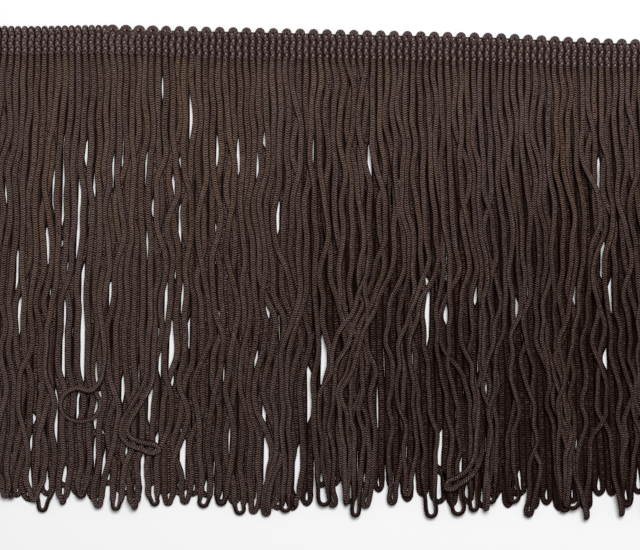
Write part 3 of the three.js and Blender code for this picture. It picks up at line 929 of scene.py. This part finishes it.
class FrontLegs:
    """The front legs as they lie.

    A leg's points are x, y, underside, half width, half thickness and roll.
    """

    def __init__(self, sizes):
        self.sizes = sizes
        self.depths = np.arange(0.0, LAST_DEPTH + ROW_STEP / 2, ROW_STEP)
        keeps, moves, self.there = leavers(self.depths, sizes)
        narrow, order = crossings(self.depths, keeps)
        lanes, homes = lay_front(self.depths, keeps, narrow, sizes)
        wide, shift = half_widths(self.depths, lanes, keeps, sizes)
        rows = np.arange(len(self.depths))[:, None]
        self.half, self.xs = np.empty_like(lanes), np.empty_like(lanes)
        self.half[rows, order] = wide
        self.xs[rows, order] = keeps * lanes + (1 - keeps) * homes + shift
        self.half = smoothed(self.half, 2)
        self.xs = smoothed(self.xs, 2) + moves
        self.low, self.tilt = stacked(self.depths, self.xs, self.half, keeps, self.there, sizes)
        ribs = rib_x(np.arange(LEGS), sizes)
        self.openings = [self.opening(lanes, ribs, *slit) for slit in all_slits(ribs)]

    def opening(self, lanes, ribs, x, depth, width, length):
        """Where a slit came to lie between its two cords."""
        pair = int(np.clip(np.searchsorted(ribs + flow(ribs, depth), x) - 1, 0, LEGS - 2))
        row = round(float(depth) / ROW_STEP)
        return float(lanes[row, pair:pair + 2].mean()), depth, width, length

    def points(self, leg, depths):
        sizes = self.sizes
        x_rib = rib_x(leg, sizes)
        read = lambda table: np.interp(depths, self.depths, table[:, leg])
        lifted = step(x_rib, *LIFTED_X)
        loose = step(depths, *ROLL_FROM) * (0.12 + 0.50 * lifted)
        roll = loose * ripple(leg, depths, 9, ROLL_WAVE) + read(self.tilt) * (1 if leg % 2 else -1)
        half = read(self.half) / np.maximum(np.cos(roll), 0.85)
        thick = sizes.cord_thickness / 2 * PLUMP
        ys = depth_y(x_rib, depths, sizes)
        return columns(read(self.xs), ys, read(self.low), half, thick, roll)

    def top(self, x, y):
        """The height of the front legs at a place."""
        depth = FOOT_Y - y
        row = int(np.clip(round(depth / ROW_STEP), 0, len(self.depths) - 1))
        apart = np.abs(self.xs[row] - x) / self.half[row]
        under = self.low[row] + self.sizes.cord_thickness * np.sqrt(np.maximum(1 - apart**2, 0))
        return float(np.max(np.where((apart < 1) & self.there[row], under, 0)))


def laid_on(front, line):
    """The height of a line of cord that lies on the front legs, smoothed along it."""
    across = (-LAID_REACH, 0, LAID_REACH)
    heights = np.array([max(front.top(x + dx, y) for dx in across) for x, y in line])
    for _ in range(2):
        heights[1:-1] = np.maximum(heights[1:-1], (heights[:-2] + heights[2:]) / 2)
    return heights - LAID_SINK


def loop_end(front, loop, drop, a_end, b_end):
    """The foot of a loop, from one leg round to the other: tight, open or turned on edge."""
    sizes = front.sizes
    choice = scatter(loop, 7)
    lifted = float(step(rib_x(2 * loop, sizes), *LIFTED_X))
    thick = sizes.cord_thickness / 2
    half, roll, turn = EYE_TIGHT, 0.25 * scatter(loop, 11), 0.0
    if choice > 0.40 - 0.50 * lifted:
        spread = EYE_SPREAD + EYE_SPREAD_RIGHT * lifted
        half = EYE_OPEN + EYE_OPEN_RIGHT * lifted + spread * scatter(loop, 8)
        roll = EYE_ROLL
    if choice < -0.80 + 0.20 * lifted:
        turn = ON_EDGE_TURN * np.sign(scatter(loop, 10))
    lean = (EYE_LEAN + EYE_LEAN_RIGHT * lifted) * scatter(loop, 9)
    middle = (a_end[:2] + b_end[:2]) / 2
    start_half = (b_end[0] - a_end[0]) / 2
    half = math.copysign(half, start_half)
    low = (a_end[2] + b_end[2]) / 2
    tip_y = depth_y(rib_x(2 * loop, sizes), drop, sizes)
    fall = middle[1] - (tip_y + abs(half) + thick)
    narrow = 0.20 - 0.10 * lifted
    over = FOOT_OVER * (1 - lifted) if scatter(loop, 29) > 0 else 0.0

    def place(t, across, along):
        spread = blend(start_half, half, step(t, narrow, 1.0 - 0.25 * lifted))
        tilt = turn * step(t, narrow, 0.9)
        own = a_end if across < 0 else b_end
        x = middle[0] + lean * t * t + across * spread * math.cos(tilt)
        y = middle[1] - fall * t - along
        z = blend(own[2], low, t) * (1 - 0.45 * t * t)
        z = z + max(0, -across * math.sin(tilt)) * 2 * abs(spread)
        z += over * step(t, 0.0, 0.6)
        width = blend(own[3], FOOT_HALF, step(t, narrow, 1.0))
        return (x, y, z, width, thick, blend(own[5], roll, step(t, 0.0, 0.8)))

    steps = (0.25, 0.5, 0.75, 1.0)
    down = [place(t, -1, 0) for t in steps]
    arc = [place(1.0, -math.cos(angle), abs(half) * math.sin(angle))
           for angle in np.radians((40, 90, 140))]
    up = [place(t, 1, 0) for t in reversed(steps)]
    return np.array(down + arc + up)


def end_length(front, loop, drop):
    """Length of a loop's foot: long at the right, and at the left where its legs stand apart."""
    right = float(step(rib_x(2 * loop, front.sizes), *LIFTED_X))
    length = blend(END_LENGTH, END_LENGTH_RIGHT, right)
    row = round((drop - length) / ROW_STEP)
    spread = abs(front.xs[row, 2 * loop + 1] - front.xs[row, 2 * loop]) / 2
    return length + 3.0 * (1 - right) * max(0.0, spread - LEGS_APART)


def bent_end(front, bent):
    """The foot of a loop that lies bent over its neighbours, along its middle line."""
    middle = np.array(bent["middle"])
    along = np.gradient(middle, axis=0)
    along /= np.linalg.norm(along, axis=1)[:, None]
    side = columns(along[:, 1], -along[:, 0]) * BENT_HALF
    tip = middle[-1:] + along[-1:] * BENT_TIP
    line = np.concatenate([middle + side, tip, (middle - side)[::-1]])
    return curled(front, line, laid_on(front, line), 0.4)


def ring_end(front):
    """The loop that lies as a ring: into the ring, round it, and out over itself."""
    angles = RING_START - np.linspace(0, RING_TURN, RING_POINTS)
    ring = columns(
        RING["x"] + RING["rx"] * np.cos(angles), RING["y"] + RING["ry"] * np.sin(angles))
    line = np.concatenate([ring[0] + np.array(RING_IN), ring, ring[0] + np.array(RING_OUT)])
    heights = laid_on(front, line)
    heights[-len(RING_OUT):] += front.sizes.cord_thickness * np.array((1.0, 0.9, 0.3))
    return curled(front, line, heights, 0.6)


def curled(front, line, heights, roll):
    """The points of a cord that lies curled along a line at these heights."""
    return columns(*line.T, heights, CURLED_HALF, front.sizes.cord_thickness / 2, roll)


def front_loop(front, loop):
    """The whole path of one front loop: down one leg, round its foot and up the other."""
    drop = drop_of(loop, front.sizes)
    stray = next((stray for stray in (RING, *BENT) if stray["loop"] == loop), None)
    last = stray["leaves"] if stray else drop - end_length(front, loop, drop)
    between = np.arange(FIRST_DEPTH, last - LAST_POINT_CLEAR, POINT_STEP)
    depths = np.concatenate([[ROOT_DEPTH], between, [last]])
    a = front.points(2 * loop, depths)
    b = front.points(2 * loop + 1, depths)
    if stray is RING:
        foot = ring_end(front)
    elif stray:
        foot = bent_end(front, stray)
    else:
        foot = loop_end(front, loop, drop, a[-1], b[-1])
    return np.concatenate([a, foot, b[::-1]])


def under_loop(index, front):
    """One loop of the second layer: straight, flat on the surface and parted under the slits."""
    sizes = front.sizes
    ribs = rib_x(UNDER_FIRST_RIB + 2 * index + np.array([0, 1]), sizes)
    lifted = float(step(ribs[0], *LIFTED_X))
    drop = about(UNDER_DROP + UNDER_LONGER_LEFT * (1 - lifted), UNDER_DROP_SPREAD, index, 6)
    thick = blend(UNDER_THIN, sizes.cord_thickness / 2, lifted)
    until, last = (drop - above for above in UNDER_LAST_POINTS)
    depths = np.append(np.arange(0.0, until, POINT_STEP), last)
    tapered = step(depths, drop - UNDER_TAPER[0], drop - UNDER_TAPER[1])
    half = blend(UNDER_HALF, UNDER_END_HALF, tapered)

    def leg(x_rib, number):
        drift = np.array([flow(x_rib, depth) for depth in depths])
        drift = drift + UNDER_SWAY * depths / sizes.drop * ripple(number, depths, 12, UNDER_WAVE)
        xs = x_rib + drift
        for place, depth, width, length in front.openings[::-1]:
            shape = np.clip(1 - ((depths - depth) / length) ** 2, 0, 1)
            parted = UNDER_HALF + UNDER_PARTED * lifted
            parted = parted + max(UNDER_PARTED_SHARE * width, UNDER_PARTED_LEAST)
            apart = np.maximum(np.abs(xs - place), step(shape, 0, 0.5) * parted)
            side = math.copysign(1, np.interp(depth, depths, xs) - place)
            xs = np.where(shape > 0, place + side * apart, xs)
        return columns(xs, depth_y(x_rib, depths, sizes), 0, half, thick, 0)

    number = UNDER_LEG_NUMBERS + 2 * index
    a, b = leg(ribs[0], number), leg(ribs[1], number + 1)
    tip = (a[-1] + b[-1]) / 2
    tip[1] -= UNDER_TIP
    return np.concatenate([a, tip[None, :], b[::-1]])


def smooth_path(points, spacing):
    """A smooth curve through points, with rings at an even spacing and closer where it turns."""
    lengths = np.linalg.norm(np.diff(points[:, :3], axis=0), axis=1)
    knots = np.concatenate([[0], np.cumsum(np.maximum(lengths, 1e-5))])
    slopes = np.gradient(points, knots, axis=0)
    heading = slopes[:, :3] / np.linalg.norm(slopes[:, :3], axis=1)[:, None]
    bend = np.arccos(np.clip(np.sum(heading[:-1] * heading[1:], axis=1), -1, 1))
    counts = np.maximum(np.ceil(np.diff(knots) / spacing), np.ceil(bend / RING_BEND)).astype(int)
    places = np.concatenate([
        knots[i] + (knots[i + 1] - knots[i]) * np.arange(count) / count
        for i, count in enumerate(counts)])
    places = np.append(places, knots[-1])
    band = np.clip(np.searchsorted(knots, places, side="right") - 1, 0, len(knots) - 2)
    width = (knots[band + 1] - knots[band])[:, None]
    t = ((places - knots[band]) / width[:, 0])[:, None]
    first, second = points[band], points[band + 1]
    path = ((2 * t**3 - 3 * t**2 + 1) * first + (t**3 - 2 * t**2 + t) * width * slopes[band]
            + (3 * t**2 - 2 * t**3) * second + (t**3 - t**2) * width * slopes[band + 1])
    return np.clip(path, points.min(axis=0), points.max(axis=0))


def darkening_and_painted_shade(centre):
    """How much darker the yarn is drawn: down the fringe, most at its lower right, and, as painted
    shade, under other cords.
    """
    depth = FOOT_Y - centre[:, 1]
    above = (centre[:, 2] - CORD_LEVEL - LIFT * step(centre[:, 0], *LIFTED_X)) / CORD_LEVEL
    # The last term is painted shade: cords that lie low, under others, are drawn darker, and those
    # on top lighter.
    return (0.18 * step(depth, *SHADE_DOWN)
            + 0.25 * step(depth, *SHADE_LOWER) * np.interp(centre[:, 0], SHADED_X, SHADED)
            - 0.17 * np.clip(above, -1.9, 1.0) * step(depth, *SHADE_UNDER))


class CordMesh:
    """Collects the tubes of many cords and joins them in one mesh."""

    def __init__(self, sides=SECTION_SIDES):
        self.sides = sides
        self.angles = -math.pi + TAU * (np.arange(sides) + 0.5) / sides
        self.points, self.faces = [], []
        self.values = {"along": [], "around": [], "tone": [], "darkening_and_shade": []}
        self.count = 0

    def add(self, path, number, tone, from_low=True):
        """Adds a cord along a path of x, y, height, half width, half thickness and roll."""
        centre = path[:, :3].copy()
        half, thick, roll = path[:, 3], path[:, 4], path[:, 5]
        if from_low:
            centre[:, 2] += np.hypot(half * np.sin(roll), thick * np.cos(roll))
        tangent = np.gradient(centre, axis=0)
        tangent /= np.linalg.norm(tangent, axis=1)[:, None]
        level = np.cross(tangent, (0, 0, 1))
        side = np.empty_like(tangent)
        last = level[0]
        for i, direction in enumerate(tangent):
            if np.linalg.norm(level[i]) > 0.3:
                last = level[i] * (1 if np.dot(level[i], last) >= 0 else -1)
            last = last - direction * np.dot(last, direction)
            last = last / np.linalg.norm(last)
            side[i] = last
        up = np.cross(side, tangent)
        sine, cosine = np.sin(self.angles), np.cos(self.angles)
        flat = half[:, None] * sine
        tall = thick[:, None] * cosine
        turn_cos, turn_sin = np.cos(roll)[:, None], np.sin(roll)[:, None]
        across = flat * turn_cos - tall * turn_sin
        above = flat * turn_sin + tall * turn_cos
        ring = (centre[:, None, :] + across[..., None] * side[:, None, :]
                + above[..., None] * up[:, None, :])
        rings, sides = len(path), self.sides
        index = self.count + np.arange(rings * sides).reshape(rings, sides)
        following = np.roll(index, -1, axis=1)
        quads = np.stack([index[:-1], following[:-1], following[1:], index[1:]], axis=-1)
        self.faces += quads.reshape(-1, 4).tolist()
        self.faces.append(index[0][::-1].tolist())
        self.faces.append(index[-1].tolist())
        length = np.concatenate([[0], np.cumsum(np.linalg.norm(np.diff(centre, axis=0), axis=1))])
        self.points.append(ring.reshape(-1, 3))
        self.values["along"].append(np.repeat(about(length, KNIT_START, number, 13), sides))
        self.values["around"].append(np.tile(self.angles / math.pi, rings))
        cool = 0.7 * step(FOOT_Y - centre[:, 1], *COOL_FROM)
        left = 1 - step(centre[:, 0], *WARM_TO_X)
        warmth = (tone + 0.22 * left + 0.15 * ripple(number, length, 14, WARM_WAVE)) * (1 - cool)
        self.values["tone"].append(np.repeat(np.clip(warmth, 0, 1), sides))
        # Painted shade under other cords, darkening down the fringe and at the lower right, and a
        # random darkness for each cord.
        darkening_and_shade = darkening_and_painted_shade(centre) + 0.11 * (1 + ripple(number, length, 21, DARK_WAVE))
        self.values["darkening_and_shade"].append(np.repeat(np.clip(darkening_and_shade, 0, DEEPEST), sides))
        self.count += rings * sides

    def build(self, name, material):
        mesh = bpy.data.meshes.new(name)
        mesh.from_pydata(np.concatenate(self.points).tolist(), [], self.faces)
        for label, values in self.values.items():
            data = mesh.attributes.new(label, "FLOAT", "POINT").data
            data.foreach_set("value", np.concatenate(values).astype(np.float32))
        mesh.shade_smooth()
        return place_piece(name, mesh, material)


def place_piece(name, mesh, material):
    piece = bpy.data.objects.new(name, mesh)
    bpy.context.scene.collection.objects.link(piece)
    mesh.materials.append(material)
    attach(piece, "root")
    return piece


def cord_tone(number):
    """How warm a cord's yarn is, between the two browns."""
    return about(0.45, 0.4, number, 15)


def chosen(context):
    """The sizes and the colours that are set in the scene."""
    return context.scene.fringe_sizes, context.scene.fringe_colours


def dome_of(rib, x):
    """How far a rib's end lies below the heading's top, and its arch's radius, 0 for none."""
    if x < SINGLE_DOMES_TO_X:
        return 0.0, 0.0
    if rib % 2 == 1:
        return BETWEEN_ARCHES, 0.0
    return UNDER_ARCH, BROAD_ARCH if x < BROAD_ARCHES_TO_X else NARROW_ARCH


def rib_sway(rib, up):
    """The ribs' small zigzag between the rows of stitches."""
    zigzag = np.cos(math.pi * (up - LAST_STITCH_ABOVE_FOOT) / STITCH_ROW_PITCH)
    return RIB_ZIGZAG * (1 + 0.4 * scatter(rib, 18)) * zigzag


def heading_top(x):
    return HEADING_TOP_Y + bow(x)


def rib_path(rib, sizes):
    """One rib: up from the foot, pinched at each stitch, and over the heading's top edge."""
    x = float(rib_x(rib, sizes))
    below, _ = dome_of(rib, x)
    end_y = float(heading_top(x)) - below - RIB_HALF_HEIGHT - DOME_TURN
    foot = float(foot_y(x))
    ys = np.linspace(foot - RIB_BELOW_FOOT, end_y, RIB_POINTS)
    up = ys - foot
    pinch = 0.5 + 0.5 * np.cos(TAU * (up - LAST_STITCH_ABOVE_FOOT) / STITCH_ROW_PITCH)
    cap = SINGLE_DOME_HALF if x < SINGLE_DOMES_TO_X else RIB_HALF
    wide = RIB_HALF + RIB_SPREAD_LEFT * (1 - float(step(x, *RIB_SPREAD_X)))
    capped = step(ys, end_y - DOME_CAP_LENGTH, end_y)
    half = wide + RIB_FULLER - RIB_PINCH * pinch + (cap - wide) * capped
    fall = 0.2 * below * step(ys, end_y - RIB_FALL_LENGTH, end_y)
    fall = fall + RIB_TAIL_FALL * step(-up, 0, RIB_BELOW_FOOT)
    straight = columns(
        x + rib_sway(rib, up), ys, RIB_Z - RIB_SINK * pinch - fall, half, RIB_HALF_HEIGHT, 0)
    turn = np.array([
        (straight[-1, 0], end_y + DOME_TURN * math.sin(angle),
         straight[-1, 2] - DOME_TURN * (1 - math.cos(angle)), cap, RIB_HALF_HEIGHT, 0)
        for angle in np.radians((30, 60, 90))])
    last = turn[-1].copy()
    last[2] = DOME_FOOT_Z
    return np.concatenate([straight, turn, last[None, :]])


def arch_path(rib, sizes):
    """The dome over a rib: a short arch of cord that stands round along the heading's top edge."""
    x = float(rib_x(rib, sizes))
    radius = dome_of(rib, x)[1]
    middle = float(heading_top(x)) - radius - ARCH_HALF
    centre = x + ARCH_SHIFT
    side = [(centre - radius * share, middle - below, z) for share, below, z in ARCH_SIDE]
    crown = [(centre - radius * math.cos(angle), middle + radius * math.sin(angle), ARCH_Z)
             for angle in np.radians((0, 30, 60, 90))]
    half = side + crown
    line = np.array(half + [(2 * centre - px, py, pz) for px, py, pz in reversed(half[:-1])])
    return columns(*line.T, ARCH_HALF, ARCH_HALF_HEIGHT, 0)


class FRINGE_OT_heading(bpy.types.Operator):
    """Adds the heading's ribs, and the arches of cord that stand as domes along its top edge"""

    bl_idname = "fringe.heading"
    bl_label = "Heading cords"

    def execute(self, context):
        sizes, colours = chosen(context)
        cords = CordMesh()
        for rib in range(LEGS):
            tone = cord_tone(2 * rib)
            path = smooth_path(rib_path(rib, sizes), RIB_RING_STEP)
            cords.add(path, RIB_NUMBERS + rib, tone, from_low=False)
            if dome_of(rib, float(rib_x(rib, sizes)))[1] > 0:
                arch = smooth_path(arch_path(rib, sizes), ARCH_RING_STEP)
                cords.add(arch, ARCH_NUMBERS + rib, tone, from_low=False)
        finish = knitted_cord(
            "heading_knit", colours.heading_yarn, colours.heading_yarn, colours.painted_crease_shade, sizes,
            soft=0.9)
        piece = cords.build("heading_cords", finish)
        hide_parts("heading")
        return {"FINISHED"}


class FRINGE_OT_stitches(bpy.types.Operator):
    """Adds the four rows of small stitches across the heading's ribs"""

    bl_idname = "fringe.stitches"
    bl_label = "Heading stitches"

    def execute(self, context):
        sizes, colours = chosen(context)
        stitches = CordMesh(sides=FEWER_SIDES)
        t = np.linspace(-1, 1, STITCH_POINTS)
        thin = 1.02 - 0.7 * t * t
        reach = sizes.stitch / 2
        for rib in range(LEGS):
            x = float(rib_x(rib, sizes))
            for row in range(STITCH_ROWS):
                number = STITCH_NUMBERS + rib * STITCH_ROWS + row
                up = LAST_STITCH_ABOVE_FOOT + STITCH_ROW_PITCH * row
                y = about(float(foot_y(x)) + up, STITCH_STRAY_Y, number, 1)
                middle = about(x + float(rib_sway(rib, up)), STITCH_STRAY_X, number, 2)
                slant = about(0.35, 0.25, number, 3)
                path = columns(
                    middle + reach * t * slant, y + reach * t,
                    RIB_Z + RIB_HALF_HEIGHT - STITCH_SINK - STITCH_BEND * t * t,
                    STITCH_HALF * thin, STITCH_HALF_HEIGHT * thin, 0)
                # Painted highlight: how much of the light stitch colour each stitch shows, more at
                # the right.
                painted_highlight = about(0.45 + 0.40 * float(step(x, *STITCH_HIGHLIGHT_X)), 0.15, number, 4)
                stitches.add(path, number, painted_highlight, from_low=False)
        finish = Finish("stitch_thread")
        twist = finish.attribute("along") / STITCH_TWIST + finish.attribute("around")
        strand = (twist * TAU).sine()
        # Painted highlight on the thread's twisted strands, with the yarn colour in the grooves
        # between them.
        painted_light = strand.smooth(-1.4, 0.4) * finish.attribute("tone")
        thread = finish.mix(painted_light, colour(colours.yarn), colour(colours.stitch))
        finish.surface(Base_Color=thread, Roughness=0.42, Specular_IOR_Level=0.35)
        stitches.build("heading_stitches", finish.material)
        return {"FINISHED"}


class FRINGE_OT_band(bpy.types.Operator):
    """Adds the narrow woven band that the ribs lie on"""

    bl_idname = "fringe.band"
    bl_label = "Heading band"

    def execute(self, context):
        sizes, colours = chosen(context)
        first, last = float(rib_x(0, sizes)), float(rib_x(LEGS - 1, sizes))
        xs = np.linspace(first - BAND_PAST_RIBS, last + BAND_PAST_RIBS, BAND_STATIONS)
        points = [(x, y + float(bow(x)), z) for x in xs for y, z in BAND_SECTION]
        n = len(BAND_SECTION)
        faces = [(i * n + k, (i + 1) * n + k, (i + 1) * n + (k + 1) % n, i * n + (k + 1) % n)
                 for i in range(len(xs) - 1) for k in range(n)]
        faces += [tuple(range(n)), tuple(reversed(range((len(xs) - 1) * n, len(xs) * n)))]
        mesh = bpy.data.meshes.new("heading_band")
        mesh.from_pydata(points, [], faces)
        finish = Finish("band_weave")
        weave = finish.node("ShaderNodeTexNoise", None, {"Scale": 1500.0, "Detail": 2.0})
        # Painted shade: the hollows of the weave drawn in the crease colour.
        cloth = finish.mix(
            weave.smooth(0.47, 0.95), colour(colours.painted_crease_shade), colour(colours.under_yarn))
        finish.surface(Base_Color=cloth, Roughness=0.9, Specular_IOR_Level=0.03)
        place_piece("heading_band", mesh, finish.material)
        return {"FINISHED"}


class FRINGE_OT_front_loops(bpy.types.Operator):
    """Adds the front loops in three lengths of the trim: left, middle and right"""

    bl_idname = "fringe.front_loops"
    bl_label = "Front loops"

    def execute(self, context):
        sizes, colours = chosen(context)
        front = FrontLegs(sizes)
        finish = knitted_cord("loop_knit", colours.yarn, colours.warm_yarn, colours.painted_crease_shade, sizes)
        for name, first, last in LOOP_GROUPS:
            cords = CordMesh()
            for loop in range(first, last):
                cords.add(smooth_path(front_loop(front, loop), RING_STEP), loop, cord_tone(loop))
            piece = cords.build(f"front_loops_{name}", finish)
            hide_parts("loop_fringe")
        return {"FINISHED"}


class FRINGE_OT_under_loops(bpy.types.Operator):
    """Adds the second layer of loops, which lies under the front ones"""

    bl_idname = "fringe.under_loops"
    bl_label = "Under loops"

    def execute(self, context):
        sizes, colours = chosen(context)
        # Painted shade: the second layer's darker yarn, and wider dark sides between its cords.
        finish = knitted_cord(
            "under_knit", colours.under_yarn, colours.yarn, colours.painted_crease_shade, sizes,
            shaded_sides=(0.10, 0.31))
        front = FrontLegs(sizes)
        cords = CordMesh(sides=FEWER_SIDES)
        for index in range(-UNDER_LOOPS_LEFT, UNDER_LOOPS):
            path = smooth_path(under_loop(index, front), UNDER_RING_STEP)
            cords.add(path, UNDER_NUMBERS + index, UNDER_TONE_LEFT * (index < 0))
        cords.build("under_loops", finish)
        return {"FINISHED"}


class FRINGE_OT_stage(bpy.types.Operator):
    """Adds the pale floor, the soft light and the camera"""

    bl_idname = "fringe.stage"
    bl_label = "Stage"

    def execute(self, context):
        scene, stage = context.scene, context.scene.fringe_stage
        mesh = bpy.data.meshes.new("floor")
        sides = ((-1, -1), (1, -1), (1, 1), (-1, 1))
        corners = [(x * FLOOR_REACH, y * FLOOR_REACH, 0) for x, y in sides]
        mesh.from_pydata(corners, [], [(0, 1, 2, 3)])
        floor = bpy.data.objects.new("floor", mesh)
        scene.collection.objects.link(floor)
        finish = Finish("pale_floor")
        finish.surface(
            Base_Color=colour(scene.fringe_colours.floor), Roughness=0.9, Specular_IOR_Level=0.1)
        mesh.materials.append(finish.material)
        world = bpy.data.worlds.new("soft_sky")
        world.use_nodes = True
        world.node_tree.nodes["Background"].inputs["Color"].default_value = (1, 1, 1, 1)
        world.node_tree.nodes["Background"].inputs["Strength"].default_value = stage.sky
        scene.world = world
        lamp = bpy.data.lights.new("key_light", "AREA")
        lamp.shape = "DISK"
        lamp.size = KEY_SIZE
        lamp.energy = stage.key_power
        key = bpy.data.objects.new("key_light", lamp)
        key.location = KEY_PLACE
        key.rotation_euler = KEY_TURN
        scene.collection.objects.link(key)
        lens = bpy.data.cameras.new("camera")
        lens.sensor_fit = "HORIZONTAL"
        lens.sensor_width = SENSOR_WIDTH
        lens.lens = SENSOR_WIDTH * stage.camera_height / stage.view_width
        lens.clip_start = CLIP_START
        camera = bpy.data.objects.new("camera", lens)
        camera.location = (0, stage.camera_y, stage.camera_height)
        camera.rotation_euler = (0, 0, stage.camera_roll)
        scene.collection.objects.link(camera)
        scene.camera = camera
        scene.view_settings.view_transform = "Standard"
        scene.cycles.use_denoising = False
        return {"FINISHED"}


PIECES = (
    FRINGE_OT_heading, FRINGE_OT_stitches, FRINGE_OT_band, FRINGE_OT_front_loops,
    FRINGE_OT_under_loops, FRINGE_OT_stage)
GROUPS = {
    "fringe_sizes": FringeSizes, "fringe_colours": FringeColours, "fringe_stage": FringeStage}


class FRINGE_PT_panel(bpy.types.Panel):
    """Lists the sizes, the colours and the pieces of the fringe"""

    bl_idname = "FRINGE_PT_panel"
    bl_label = "Loop fringe"
    bl_space_type = "VIEW_3D"
    bl_region_type = "UI"
    bl_category = "Fringe"

    def draw(self, context):
        for group_name in GROUPS:
            group = getattr(context.scene, group_name)
            for name in group.bl_rna.properties.keys():
                if name not in ("rna_type", "name"):
                    self.layout.prop(group, name)
        for piece in PIECES:
            self.layout.operator(piece.bl_idname)


def register():
    for item in (*GROUPS.values(), *PIECES, FRINGE_PT_panel):
        bpy.utils.register_class(item)
    for name, group in GROUPS.items():
        setattr(bpy.types.Scene, name, bpy.props.PointerProperty(type=group))


def unregister():
    for name in GROUPS:
        delattr(bpy.types.Scene, name)
    for item in reversed((*GROUPS.values(), *PIECES, FRINGE_PT_panel)):
        bpy.utils.unregister_class(item)


def main():
    register()
    bpy.ops.fringe.heading()
    bpy.ops.fringe.stitches()
    bpy.ops.fringe.band()
    bpy.ops.fringe.front_loops()
    bpy.ops.fringe.under_loops()
    bpy.ops.fringe.stage()


if __name__ == "__main__":
    main()
